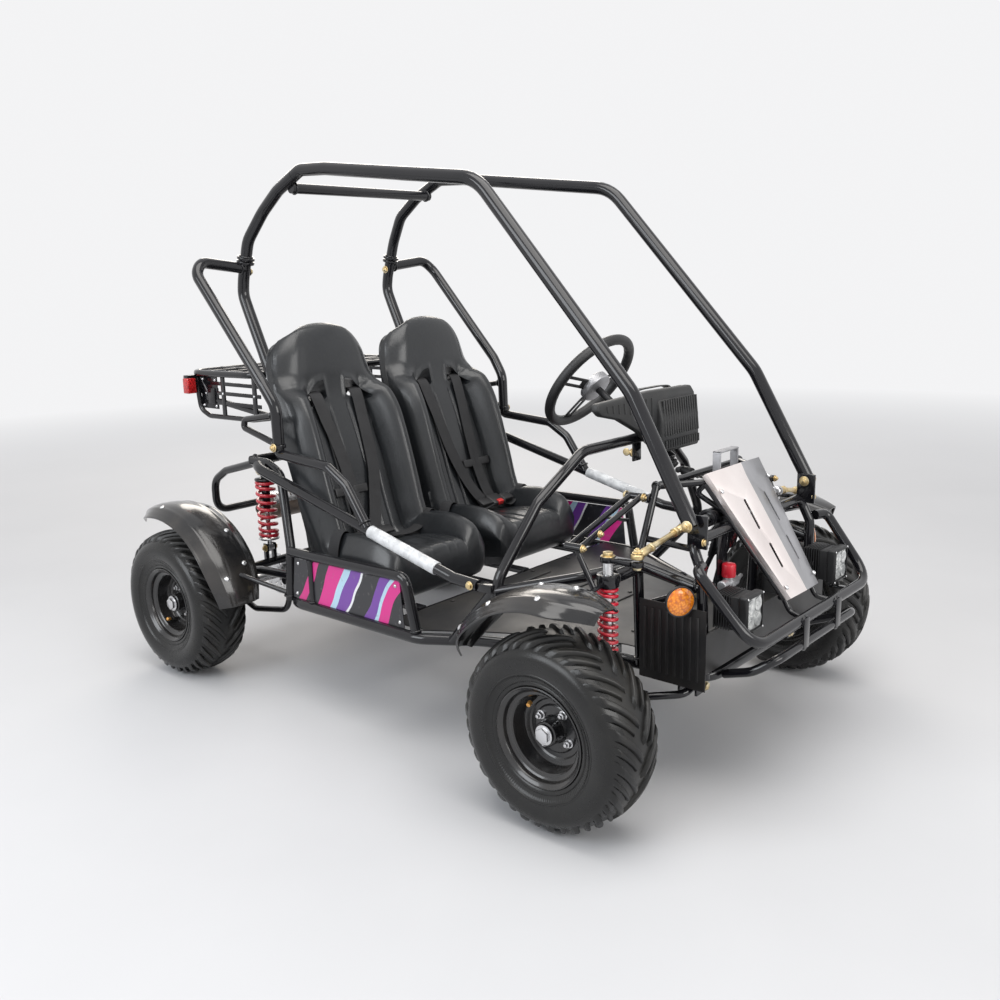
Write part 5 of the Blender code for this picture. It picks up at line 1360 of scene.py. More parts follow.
# Steering rack and tie rods
# The rack bar slides in its housing and ends in ball sockets. Each tie rod has lock nuts and
# a rod end, in yellow zinc.
parts = [turned_bar((-0.198, *rack_line), (0.198, *rack_line), 0.0085, 32)]
for side in (-1, 1):
    socket = [(0.0, 0.186), (0.0085, 0.186), (0.0118, 0.19), (0.0122, 0.2), (0.0108, 0.2052),
        (0.007, 0.2062), (0.0, 0.2062)]
    parts += [lathe(socket, (0, *rack_line), (side, 0, 0), 36),
        turned_bar((side * 0.179, *rack_line), (side * 0.185, *rack_line), 0.0125, 6)]
finish_piece("rack_bar", parts, bright_steel, "steering_rack", "steering_rack")
for name, side in SIDES:
    inner = Vector((side * 0.212, *rack_line))
    outer = Vector((side * 0.35, -0.7, 0.496))
    along = (outer - inner).normalized()
    length = (outer - inner).length
    parts = [turned_bar(inner, outer - along * 0.01, 0.0055, 28),
        turned_bar(inner, inner + along * 0.015, 0.0088, 28, 0.007)]
    for near in (0.018, length - 0.046):
        parts.append(turned_bar(inner + along * near, inner + along * (near + 0.007), 0.0094, 6))
    for near in (0.027, 0.03, 0.033, length - 0.054, length - 0.057, length - 0.06):
        parts.append(turned_bar(inner + along * near, inner + along * (near + 0.0014), 0.0061, 24))
    parts.append(turned_bar(inner + along * (length - 0.038), outer - along * 0.006, 0.0072, 24, 0.0086))
    eye_outline = [(0.0062, -0.005), (0.0105, -0.005), (0.0122, -0.0036), (0.0122, 0.0036),
        (0.0105, 0.005), (0.0062, 0.005)]
    parts.append(lathe(eye_outline, outer, (0, 0, 1), 36))
    finish_piece(f"tie_bar_{name}", parts, yellow_zinc, f"tie_rod_{name}", f"tie_rod_{name}", edge=0.0004)
    ball = [(0.0, -0.005), (0.0044, -0.005), (0.0058, -0.0032), (0.0064, 0.0), (0.0058, 0.0032),
        (0.0044, 0.005), (0.0, 0.005)]
    finish_piece(f"rod_end_ball_{name}", [lathe(ball, outer, (0, 0, 1), 32)], bright_steel,
        body=f"tie_rod_{name}", edge=0)

# Front suspension
# A lower arm of bent tube holds the foot of each upright. The upright slides with the
# kingpin through its guide against a red coil spring, and the knuckle turns about it.
spring_red = Coat("red_spring_enamel", "red_spring", (0.62, 0.012, 0.035), 0.28)
spring_red.dusted((0.25, 0.18, 0.16), 0.35)
spring_red.worn(60.0, 5.0, 0.25, 0.16)
spring_red.grained(320.0, 3.0, 0.06, 0.0006)
spring_red.set("Coat Weight", 0.4)


def through_bolt(centre, along, reach, size, height, stud=0.003):
    """The head and the nut of a bolt through an eye, as far to one side as to the other."""
    centre, along = Vector(centre), Vector(along)
    made = bolt(centre + along * reach, along, size, height, stud)
    return made + bolt(centre - along * reach, -along, size, height)


def coil(centre, low, high, radius, wire, turns, flip=1):
    """A compression spring whose end turns lie flat."""
    steps = 28
    dead = 0.8
    run = []
    for step in range(int(turns * steps) + 1):
        wound = step / steps
        rise = min(max((wound - dead) / (turns - 2 * dead), 0.0), 1.0)
        lead = min(wound / dead, 1.0) + max((wound - turns + dead) / dead, 0.0)
        z = low + wire + rise * (high - low - 3.8 * wire) + 0.9 * wire * lead
        turn = 2 * pi * wound * flip
        run.append((centre[0] + radius * cos(turn), centre[1] + radius * sin(turn), z))
    return bent_tube(run, wire, bend=0.0, sides=4)


for name, side in SIDES:
    arm, upright, knuckle = f"front_arm_{name}", f"front_upright_{name}", f"front_knuckle_{name}"
    legs = [[(0.19, -0.735, 0.205), (0.232, -0.735, 0.1955), (0.283, -0.641, 0.1815)],
        [(0.19, -0.53, 0.205), (0.27, -0.53, 0.187), (0.283, -0.629, 0.1815)]]
    parts = [turned_bar((side * 0.305, -0.653, 0.18), (side * 0.305, -0.617, 0.18), 0.0092),
        turned_bar((side * 0.278, -0.635, 0.1818), (side * 0.304, -0.635, 0.18), 0.0085)]
    for leg in legs:
        pivot = Vector((side * 0.19, leg[0][1], 0.205))
        parts += [turned_bar(pivot - Vector((0, 0.016, 0)), pivot + Vector((0, 0.016, 0)), 0.0092),
            side_tube(side, leg, 0.008, bend=0.03), weld(pivot + Vector((side * 0.011, 0, -0.002)),
            (1, 0, 0), 0.0084)]
    gusset = cut_block((-0.001, -0.045, -0.0012), (0.03, 0.045, 0.0012))
    gusset.data.transform(Matrix.Translation((side * 0.25 - (0.029 if side < 0 else 0.0), -0.618,
        0.1875)))
    parts.append(gusset)
    finish_piece(f"lower_arm_{name}", parts, gloss_black, arm, arm)
    parts = []
    for y in (-0.735, -0.53):
        parts += through_bolt((side * 0.19, y, 0.205), (0, 1, 0), 0.0216, 0.008, 0.0062)
    finish_piece(f"arm_pivot_bolts_{name}", parts, yellow_zinc)

    kingpin = Vector((side * 0.35, -0.635, 0.0))
    parts = [side_block(side, (0.324, -0.65, 0.13), (0.3342, -0.62, 0.28))]
    for low, high, radius in ((0.128, 0.15, 0.018), (0.262, 0.286, 0.0182)):
        parts.append(sleeve(kingpin + Vector((0, 0, low)), kingpin + Vector((0, 0, high)), radius,
            0.0112))
    parts += [sleeve(kingpin + Vector((0, 0, 0.2855)), kingpin + Vector((0, 0, 0.2895)), 0.0235, 0.0112),
        side_block(side, (0.3325, -0.644, 0.13), (0.34, -0.626, 0.149)),
        side_block(side, (0.3325, -0.644, 0.2635), (0.34, -0.626, 0.285))]
    for offset in (-0.0215, 0.0215):
        parts.append(side_block(side, (0.296, -0.635 + offset - 0.002, 0.17),
            (0.33, -0.635 + offset + 0.002, 0.19)))
    parts.append(side_block(side, (0.3225, -0.6585, 0.168), (0.333, -0.6115, 0.192)))
    finish_piece(f"kingpin_carrier_{name}", parts, gloss_black, upright, upright)
    parts = through_bolt((side * 0.305, -0.635, 0.18), (0, 1, 0), 0.0238, 0.0076, 0.006)
    finish_piece(f"arm_eye_bolts_{name}", parts, yellow_zinc, body=upright)

    parts = [turned_bar(kingpin + Vector((0, 0, 0.153)), kingpin + Vector((0, 0, 0.259)), 0.0146, 40),
        turned_bar((side * 0.352, *FRONT_AXLE), (side * 0.4655, *FRONT_AXLE), 0.0136, 40),
        weld((side * 0.366, -0.622, 0.19), (1, 0, 0), 0.0142),
        side_block(side, (0.34, -0.69, 0.4764), (0.36, -0.635, 0.4858)),
        turned_bar((side * 0.35, -0.7, 0.476), (side * 0.35, -0.7, 0.486), 0.012, 36),
        turned_bar((side * 0.35, -0.635, 0.4755), (side * 0.35, -0.635, 0.4865), 0.015, 36)]
    finish_piece(f"knuckle_{name}", parts, gloss_black, knuckle, knuckle)
    parts = [turned_bar(kingpin + Vector((0, 0, 0.123)), kingpin + Vector((0, 0, 0.487)), 0.01, 40),
        turned_bar((side * 0.455, *FRONT_AXLE), (side * 0.537, *FRONT_AXLE), 0.01, 36)]
    finish_piece(f"kingpin_{name}", parts, bright_steel, body=knuckle)
    parts = nut(kingpin + Vector((0, 0, 0.4866)), (0, 0, 1), 0.0108, 0.008)
    parts += nut(kingpin + Vector((0, 0, 0.1272)), (0, 0, -1), 0.012, 0.008)
    parts += bolt((side * 0.35, -0.7, 0.503), (0, 0, 1), 0.0078, 0.006, 0.003)
    parts += nut((side * 0.35, -0.7, 0.4755), (0, 0, -1), 0.0078, 0.005)
    finish_piece(f"knuckle_nuts_{name}", parts, yellow_zinc, body=knuckle)
    parts = nut((side * 0.5335, *FRONT_AXLE), (side, 0, 0), 0.015, 0.008)
    finish_piece(f"spindle_nut_{name}", parts, bright_steel, body=knuckle)
    spring = coil(kingpin, 0.2898, 0.4276, 0.0168, 0.0036, 9.75, side)
    ends = (upright, (kingpin.x, kingpin.y, 0.425), (kingpin.x, kingpin.y, 0.2935))
    finish_piece(f"front_coil_{name}", [spring], spring_red, f"front_spring_{name}", edge=0, angle=60,
        stretch=ends)

# Kingpin braces
# Slim tubes tie the posts, the cowl frame and the kingpin guides together, and a clevis of two
# bars steadies each guide. Tube loops beside the seats and the cowl's bracket belong to them.
def soften(piece, width):
    return reshaped(piece, "BEVEL", width=width, segments=3, limit_method="ANGLE",
        angle_limit=radians(50))


for name, side in SIDES:
    post_top, truss_top = (0.248, -0.636, 0.45), (0.172, -0.628, 0.588)
    parts = [side_tube(side, [post_top, truss_top], 0.0075),
        side_tube(side, [truss_top, (0.096, -0.704, 0.5925)], 0.0068),
        side_tube(side, [(0.244, -0.76, 0.416), (0.248, -0.642, 0.364)], 0.0065),
        side_tube(side, [(0.234, -0.745, 0.492), (0.218, -0.633, 0.492)], 0.0062),
        side_tube(side, [(0.41, 0.268, 0.695), (0.41, 0.39, 0.676), (0.41, 0.396, 0.656),
        (0.41, 0.266, 0.624)], 0.0078, bend=0.03)]
    for y, z in ((0.279, 0.6935), (0.277, 0.6265)):
        parts.append(weld((side * 0.41, y, z), (0, 1, 0), 0.0084))
    for y in (-0.578, -0.603):
        parts.append(side_tube(side, [(0.398, y, 0.506), (0.19, y, 0.566)], 0.006))
    parts += [side_tube(side, [(0.189, -0.57, 0.5662), (0.185, -0.629, 0.5662)], 0.0068),
        side_tube(side, [(0.396, -0.572, 0.5068), (0.396, -0.609, 0.5068)], 0.0078),
        side_tube(side, [(0.3955, -0.595, 0.505), (0.388, -0.628, 0.433)], 0.0058),
        side_block(side, (0.244, -0.612, 0.53), (0.256, -0.568, 0.534))]
    for spot, along, size in ((post_top, (-0.5, 0, 1), 0.0082), (truss_top, (1, 0, 0), 0.0082),
            ((0.189, -0.624, 0.5662), (0, 1, 0), 0.0074)):
        parts.append(weld(on_side([spot], side)[0], along, size))
    finish_piece(f"kingpin_brace_{name}", parts, gloss_black)
    parts = []
    for x, y, z, along, size, height, stud in (
            (0.396, -0.61, 0.5068, (0, -1, 0), 0.0062, 0.0052, 0.003),
            (0.34, -0.61, 0.5229, (0, -1, 0), 0.0062, 0.0052, 0.003),
            (0.188, -0.569, 0.5662, (0, 1, 0), 0.007, 0.0055, 0.0),
            (0.1895, -0.61, 0.566, (0.1, -1, 0), 0.0072, 0.006, 0.004),
            (0.2712, -0.756, 0.544, (1, 0, 0), 0.0088, 0.0062, 0.004),
            (0.2335, -0.756, 0.544, (-1, 0, 0), 0.0088, 0.0062, 0.003),
            (0.2412, -0.7745, 0.51, (0, -1, 0), 0.0062, 0.005, 0.0),
            (0.4262, 0.262, 0.62, (1, 0, 0), 0.008, 0.0058, 0.003),
            (0.4235, -0.348, 0.394, (1, 0, 0), 0.0072, 0.0055, 0.0),
            (0.4932, -0.6345, 0.426, (1, 0, 0), 0.0066, 0.005, 0.0)):
        parts += bolt((side * x, y, z), on_side([along], side)[0], size, height, stud)
    joint = Vector(on_side([leg_joint - leg_line * 0.03], side)[0])
    parts += bolt(joint - Vector((side * 0.0148, 0, 0)), (-side, 0, 0), 0.0084, 0.0058, 0.003)
    finish_piece(f"brace_bolts_{name}", parts, yellow_zinc)
parts = [bent_tube([(-0.172, -0.628, 0.588), (0.172, -0.628, 0.588)], 0.0075)]
finish_piece("truss_crossbar", parts, gloss_black)
parts = [cut_block((-0.06, -0.708, 0.596), (-0.0565, -0.69, 0.648)),
    cut_block((0.013, -0.708, 0.596), (0.0165, -0.69, 0.648)),
    cut_block((-0.06, -0.708, 0.6445), (0.0165, -0.69, 0.648))]
finish_piece("cowl_bracket", [soften(part, 0.0012) for part in parts], cast_grey, edge=0)

# Master cylinder
# A small cast brake cylinder with a red cap hangs from a plate on the front bar, with the
# fittings for its line.
parts = [cut_block((-0.14, -0.75, 0.396), (-0.1, -0.7465, 0.506))]
finish_piece("cylinder_plate", parts, gloss_black)
cylinder = [(0.0, -0.03), (0.0085, -0.03), (0.01, -0.028), (0.01, -0.006), (0.0125, -0.005),
    (0.0125, 0.01), (0.011, 0.012), (0.011, 0.026), (0.0, 0.028)]
parts = [lathe(cylinder, (-0.12, -0.764, 0.4), (1, 0, 0), 40),
    turned_bar((-0.12, -0.764, 0.404), (-0.12, -0.764, 0.416), 0.0105, 32),
    turned_bar((-0.092, -0.764, 0.4), (-0.078, -0.764, 0.4), 0.0052, 6),
    turned_bar((-0.08, -0.764, 0.4), (-0.066, -0.764, 0.404), 0.0036, 20)]
finish_piece("brake_cylinder", parts, cast_grey)
cap_red = Coat("red_cap_plastic", "orange", (0.55, 0.015, 0.03), 0.35)
cap_red.grained(260.0, 2.0, 0.12, 0.0005)
cap_red.worn(60.0, 4.0, 0.2, 0.25)
reservoir = [(0.0, 0.0), (0.013, 0.0), (0.0138, 0.002), (0.0138, 0.024), (0.0125, 0.0262),
    (0.0108, 0.027), (0.0, 0.027)]
finish_piece("reservoir", [lathe(reservoir, (-0.12, -0.764, 0.413), (0, 0, 1), 40)], cap_red)

# Pedals
# Two pedals hinge on the floor: a sleeve, a bent arm and a pad with rubber ribs. Return
# springs sit beside the hinges.
pedal_hinge = (-0.56, 0.278)
for pedal, x in (("throttle_pedal", 0.13), ("brake_pedal", 0.2)):
    parts = [turned_bar((x - 0.018, *pedal_hinge), (x + 0.018, *pedal_hinge), 0.008),
        bent_tube([(x, *pedal_hinge), (x, -0.575, 0.34), (x, -0.6, 0.395)], 0.006, bend=0.06)]
    tilt = Matrix.Rotation(radians(14), 4, "X")
    parts.append(cut_block((x - 0.026, -0.606, 0.372), (x + 0.026, -0.602, 0.438), tilt))
    finish_piece(f"{pedal}_lever", parts, gloss_black, pedal, pedal, edge=0.0012)
    parts = [cut_block((x - 0.025, -0.6025, 0.374), (x + 0.025, -0.599, 0.436), tilt,
        Vector((x, -0.604, 0.405)))]
    for index in range(6):
        z = 0.379 + index * 0.0095
        low, high = (x - 0.023, -0.5992, z), (x + 0.023, -0.5972, z + 0.005)
        parts.append(cut_block(low, high, tilt, Vector((x, -0.604, 0.405))))
    finish_piece(f"{pedal}_pad", parts, black_rubber, body=pedal, edge=0.0006)
    parts = through_bolt((x, *pedal_hinge), (1, 0, 0), 0.0236, 0.0062, 0.0048, 0.002)
    finish_piece(f"{pedal}_pivot_bolts", parts, yellow_zinc)

# Key switch
# A plated lock barrel on a plate under the knee hoop, with its key.
barrel_place = Vector((0.045, -0.43, 0.605))
barrel = [(0.0, -0.0087), (0.0095, -0.0087), (0.0095, 0.002), (0.008, 0.004), (0.003, 0.004),
    (0.0, 0.0034)]
parts = [lathe(barrel, barrel_place, (0, 1, 0), 40),
    turned_bar(barrel_place - Vector((0, 0.0065, 0)), barrel_place - Vector((0, 0.002, 0)), 0.0125, 6),
    cut_block(barrel_place + Vector((-0.0011, 0.003, -0.004)),
    barrel_place + Vector((0.0011, 0.013, 0.004))),
    lathe([(0.0, -0.0012), (0.0, 0.0012), (0.0085, 0.0012), (0.0092, 0.0), (0.0085, -0.0012)],
    barrel_place + Vector((0, 0.0165, 0)), (1, 0, 0), 32)]
finish_piece("lock_and_key", parts, yellow_zinc, "key_switch", "key_switch", edge=0.0004)

# Swing arm
# The rear subframe: two bent tubes with skid bars, cross tubes, an engine bed and the
# bearing carriers of the axle. It pivots on bolts at the floor loop.
parts = [bent_tube([(-0.332, 0.345, 0.266), (0.332, 0.345, 0.266)], 0.0105),
    bent_tube([(-0.332, 0.385, 0.249), (0.332, 0.385, 0.249)], 0.0108),
    bent_tube([(-0.332, 0.562, 0.2485), (0.332, 0.562, 0.2485)], 0.0112)]
for side in (-1, 1):
    edge = side * 0.33
    parts += [turned_bar((side * 0.3184, 0.3, 0.27), (side * 0.3434, 0.3, 0.27), 0.0125),
        bent_tube([(edge, 0.3, 0.27), (edge, 0.48, 0.26), (edge, 0.575, 0.243), (edge, 0.618, 0.2)],
        0.0112, bend=0.08), bent_tube([(edge, 0.345, 0.264), (edge, 0.385, 0.17), (edge, 0.52, 0.146),
        (edge, 0.606, 0.176)], 0.008, bend=0.04), sleeve((side * 0.313, *REAR_AXLE),
        (side * 0.347, *REAR_AXLE), 0.031, 0.02), sleeve((side * 0.314, *REAR_AXLE),
        (side * 0.316, *REAR_AXLE), 0.0345, 0.019)]
    for inner in (0.2255, 0.2505):
        parts.append(side_block(side, (inner, 0.552, 0.25), (inner + 0.004, 0.572, 0.302)))
    for y, z in ((0.345, 0.266), (0.385, 0.249), (0.562, 0.2485)):
        parts.append(weld((side * 0.319, y, z), (1, 0, 0), 0.0116))
    parts += [weld((edge, 0.348, 0.256), (0, 0.4, -1), 0.0086),
        weld((edge, 0.598, 0.174), (0, 1, 0.35), 0.0086)]
finish_piece("rear_subframe", parts, gloss_black, "swing_arm", "rear_swing")
parts = []
for side in (-1, 1):
    parts += through_bolt((side * 0.3309, 0.3, 0.27), (side, 0, 0), 0.0183, 0.0092, 0.0065)
finish_piece("swing_pivot_bolts", parts, yellow_zinc)
parts = []
for side in (-1, 1):
    for spot in ring_of(3, (side * 0.3472, *REAR_AXLE), 0.0262, 0.5):
        parts += bolt(spot, (side, 0, 0), 0.0042, 0.0032)
finish_piece("bearing_bolts", parts, yellow_zinc, body="rear_swing", edge=0.0004)
race = [(0.0136, -0.015), (0.0195, -0.015), (0.0198, 0.0), (0.0195, 0.015), (0.0136, 0.015)]
parts = [lathe(race, (side * 0.33, *REAR_AXLE), (1, 0, 0), 40) for side in (-1, 1)]
finish_piece("axle_bearings", parts, bright_steel, body="rear_swing", edge=0)

# Rear axle
# A live steel axle with a chain sprocket and a drilled brake disc. Slotted nuts clamp the
# wheels on its stepped ends.
parts = []
for start, end, radius in ((-0.518, 0.518, 0.01), (-0.445, 0.445, 0.0125), (0.161, 0.178, 0.022),
        (-0.185, -0.164, 0.0215)):
    parts.append(turned_bar((start, *REAR_AXLE), (end, *REAR_AXLE), radius, 40))
disc = lathe([(0.02, -0.0017), (0.02, 0.0017), (0.059, 0.0017), (0.0598, 0.001), (0.0598, -0.001),
    (0.059, -0.0017)], (-0.174, *REAR_AXLE), (1, 0, 0), 96)
hole, wide_hole = Vector((0.006, 0, 0)), Vector((0.01, 0, 0))
for rings in zip(ring_of(8, (-0.174, *REAR_AXLE), 0.05), ring_of(8, (-0.174, *REAR_AXLE), 0.043, 0.2),
        ring_of(8, (-0.174, *REAR_AXLE), 0.032, 0.39)):
    for spot, size in zip(rings, (0.003, 0.003, 0.005)):
        cut_out(disc, turned_bar(spot - hole, spot + hole, size, 16))
parts.append(disc)
teeth = 40
corners = []
for index in range(teeth * 4):
    turn = 2 * pi * index / (teeth * 4)
    reach = (0.062, 0.0618, 0.0575, 0.0575)[index % 4]
    corners.append((0.1728, REAR_AXLE[0] + reach * cos(turn), AXLE_HEIGHT + reach * sin(turn)))
sprocket = extruded(corners, (0.0028, 0, 0))
for spot in ring_of(6, (0.175, *REAR_AXLE), 0.04):
    cut_out(sprocket, turned_bar(spot - wide_hole, spot + wide_hole, 0.0095, 24))
parts.append(sprocket)
for right_side, left_side in zip(ring_of(4, (0.1756, *REAR_AXLE), 0.027, 0.4),
        ring_of(4, (-0.1757, *REAR_AXLE), 0.027, 0.4)):
    parts += nut(right_side, (1, 0, 0), 0.0042, 0.0038, False)
    parts += nut(left_side, (-1, 0, 0), 0.0042, 0.0038, False)
finish_piece("axle_shaft", parts, bright_steel, "rear_axle", "rear_axle", edge=0.0003)
parts = []
for side in (-1, 1):
    parts += bolt((side * 0.5155, *REAR_AXLE), (side, 0, 0), 0.0155, 0.008)
finish_piece("axle_nuts", parts, bright_steel, body="rear_axle")

# Brake caliper
# A small cast caliper straddles the disc on a bracket of the subframe.
parts = [cut_block((-0.19, 0.548, 0.198), (-0.179, 0.585, 0.24)),
    cut_block((-0.17, 0.548, 0.198), (-0.158, 0.585, 0.24)),
    cut_block((-0.19, 0.544, 0.205), (-0.158, 0.556, 0.236)),
    turned_bar((-0.202, 0.566, 0.218), (-0.188, 0.566, 0.218), 0.0125),
    cut_block((-0.162, 0.55, 0.23), (-0.157, 0.574, 0.256))]
parts += bolt((-0.201, 0.566, 0.218), (-1, 0, 0), 0.005, 0.0042)
finish_piece("brake_caliper", parts, cast_grey, body="rear_swing", edge=0.0016)

# Engine
# A single-cylinder engine with cast covers, cooling fins, a recoil starter, a carburettor
# with its air filter, and a steel silencer behind.
crank = (0.455, 0.312)
parts = [cut_block((-0.095, 0.378, 0.2602), (0.085, 0.57, 0.269)),
    soften(cut_block((-0.09, 0.392, 0.266), (0.08, 0.543, 0.36)), 0.014),
    soften(cut_block((-0.045, 0.425, 0.35), (0.045, 0.51, 0.47)), 0.006)]
cover = [(0.0, 0.08), (0.0, 0.129), (0.022, 0.129), (0.026, 0.126), (0.04, 0.123), (0.044, 0.118),
    (0.046, 0.108), (0.046, 0.08)]
parts.append(lathe(cover, (0.0, *crank), (1, 0, 0), 56))
for spot in ring_of(6, (0.118, *crank), 0.04, 0.3):
    parts.append(turned_bar(spot - Vector((0.03, 0, 0)), spot + Vector((0.004, 0, 0)), 0.0055, 20))
for index in range(11):
    low = 0.37 + index * 0.008
    shrink = 0.004 * abs(index - 5) / 5
    parts.append(soften(cut_block((-0.064 + shrink, 0.405 + shrink, low),
        (0.064 - shrink, 0.53 - shrink, low + 0.0026)), 0.01))
parts.append(soften(cut_block((-0.052, 0.415, 0.458), (0.052, 0.52, 0.48)), 0.008))
for index in range(5):
    y = 0.424 + index * 0.019
    parts.append(cut_block((-0.05, y, 0.478), (0.05, y + 0.004, 0.486)))
finish_piece("engine_castings", parts, cast_grey, "engine", "rear_swing", edge=0.0012)
starter = [(0.0, 0.09), (0.0, 0.124), (0.018, 0.124), (0.022, 0.121), (0.052, 0.119), (0.0585, 0.115),
    (0.06, 0.108), (0.06, 0.09)]
shroud = lathe(starter, (0.0, 0.465, 0.322), (-1, 0, 0), 72)
starter_face = (-0.1185, 0.465, 0.322)
for pair in zip(ring_of(10, starter_face, 0.034, 0.306), ring_of(10, starter_face, 0.044, 0.396)):
    for spot in pair:
        cut_out(shroud, turned_bar(spot - Vector((0.012, 0, 0)), spot + Vector((0.006, 0, 0)), 0.0042,
            14))
parts = [shroud, soften(cut_block((-0.098, 0.452, 0.372), (-0.084, 0.478, 0.392)), 0.004)]
finish_piece("recoil_starter", parts, gloss_black, body="rear_swing")
parts = [bent_tube([(0.0, 0.5, 0.43), (0.0, 0.58, 0.424), (0.0, 0.635, 0.395), (0.0, 0.69, 0.37)], 0.011,
    bend=0.06)]
can = [(0.0, -0.15), (0.034, -0.15), (0.0375, -0.147), (0.038, -0.142), (0.0372, -0.14), (0.0372, 0.08),
    (0.038, 0.082), (0.0375, 0.087), (0.034, 0.09), (0.0, 0.09)]
parts += [lathe(can, (0.0, 0.7, 0.365), (1, 0, 0), 64),
    sleeve((-0.172, 0.7, 0.365), (-0.14, 0.7, 0.365), 0.012, 0.0098)]
steel_heat = Coat("heated_silencer_steel", "cast", (0.16, 0.15, 0.15), 0.42, 0.9)
steel_heat.feed("Base Color", steel_heat.ramp(steel_heat.noise(14.0, 6.0), (0.3, (0.1, 0.1, 0.1)),
    (0.55, (0.24, 0.2, 0.17)), (0.8, (0.2, 0.13, 0.08))))
steel_heat.worn(60.0, 4.0, 0.3, 0.3)
steel_heat.grained(160.0, 4.0, 0.15, 0.0008)
finish_piece("silencer", parts, steel_heat, body="rear_swing")


def shield_point(across, along):
    turn = radians(-70 + 150 * along)
    return (-0.135 + 0.21 * across, 0.7 + 0.0415 * sin(turn), 0.365 + 0.0415 * cos(turn))


guard = drawn_grid(46, 14, shield_point)
take(guard)
bpy.ops.object.mode_set(mode="EDIT")
bpy.ops.mesh.select_all(action="DESELECT")
bpy.ops.object.mode_set(mode="OBJECT")
for polygon in guard.data.polygons:
    column, row = polygon.index % 46, polygon.index // 46
    polygon.select = column % 3 == 1 and 2 <= row <= 11 and row % 2 == 0
bpy.ops.object.mode_set(mode="EDIT")
bpy.ops.mesh.delete(type="FACE")
bpy.ops.object.mode_set(mode="OBJECT")
thicken(guard, 0.0011)
finish_piece("heat_shield", [guard], bright_steel, body="rear_swing", edge=0)
parts = [soften(cut_block((0.044, 0.402, 0.4), (0.07, 0.436, 0.43)), 0.003),
    turned_bar((0.056, 0.418, 0.43), (0.056, 0.418, 0.452), 0.0105),
    turned_bar((0.056, 0.418, 0.38), (0.056, 0.418, 0.401), 0.012),
    turned_bar((0.056, 0.434, 0.415), (0.04, 0.456, 0.415), 0.0098)]
finish_piece("carburettor", parts, bright_steel, body="rear_swing", edge=0.001)
folds = [(0.0265 - 0.0016 * (index % 2), -0.024 + index * 0.0026) for index in range(19)]
filter_shape = [(0.0, -0.03), (0.012, -0.03), (0.015, -0.026)] + folds + [(0.015, 0.026), (0.0, 0.027)]
finish_piece("air_filter", [lathe(filter_shape, (0.056, 0.382, 0.415), (0, 1, 0), 48)], black_rubber,
    body="rear_swing", edge=0)
parts = [turned_bar((0.0, 0.43, 0.462), (0.0, 0.402, 0.484), 0.0055, 24),
    turned_bar((0.0, 0.41, 0.478), (0.0, 0.396, 0.489), 0.008, 24)]
finish_piece("spark_plug_cap", parts, black_rubber, body="rear_swing", edge=0.001)
parts = []
for x in (-0.082, 0.072):
    for y in (0.388, 0.558):
        parts += bolt((x, y, 0.269), (0, 0, 1), 0.0064, 0.0052, 0.004)
for spot in ring_of(6, (0.1222, *crank), 0.04, 0.3):
    parts += nut(spot, (1, 0, 0), 0.004, 0.0032, False)
finish_piece("engine_bolts", parts, yellow_zinc, body="rear_swing", edge=0.0004)
parts = [turned_bar((0.12, *crank), (0.177, *crank), 0.01),
    turned_bar((0.1728, *crank), (0.1756, *crank), 0.02, 24)]
parts += nut((0.1765, *crank), (1, 0, 0), 0.0085, 0.006)
finish_piece("drive_sprocket", parts, bright_steel, body="rear_swing")

# Drive chain
# Side plates and rollers run round the two sprockets.
link = lathe([(0.0, -0.002), (0.0026, -0.002), (0.0026, 0.002), (0.0, 0.002)], (0, 0, 0), (1, 0, 0), 8)
plates = [cut_block((low, -0.0044, -0.003), (low + 0.001, 0.0044, 0.003)) for low in (-0.0034, 0.0024)]
link_model = joined(plates + [link])
small, large = Vector((0.1742, *crank)), Vector((0.1742, *REAR_AXLE))
small_radius, large_radius = 0.0215, 0.0605
gap = large - small
base = atan2(gap.z, gap.y)
spread = (large_radius - small_radius) / hypot(gap.y, gap.z)
lean = atan2(spread, sqrt(1 - spread * spread))
loop = []
leave = base + pi / 2 + lean
for centre, radius, first, last in ((large, large_radius, base - pi / 2 - lean, leave),
        (small, small_radius, leave, base + 3 * pi / 2 - lean)):
    for step in range(25):
        turn = first + (last - first) * step / 24
        loop.append(centre + Vector((0, cos(turn), sin(turn))) * radius)
loop.append(loop[0])
lengths = [0.0]
for near, far in zip(loop, loop[1:]):
    lengths.append(lengths[-1] + (far - near).length)
count = int(lengths[-1] / 0.0085)
links = []
segment = 0
for index in range(count):
    reach = lengths[-1] * index / count
    while lengths[segment + 1] < reach:
        segment += 1
    near, far = loop[segment], loop[segment + 1]
    spot = near.lerp(far, (reach - lengths[segment]) / (lengths[segment + 1] - lengths[segment]))
    turn = atan2((far - near).z, (far - near).y)
    links.append(copy_of(link_model, Matrix.Translation(spot) @ Matrix.Rotation(turn, 4, "X")))
bpy.data.objects.remove(link_model)
oiled_steel = Coat("oiled_chain_steel", "steel", (0.2, 0.19, 0.18), 0.38, 0.9)
oiled_steel.worn(80.0, 4.0, 0.3, 0.25)
finish_piece("drive_chain", links, oiled_steel, body="rear_swing", edge=0)

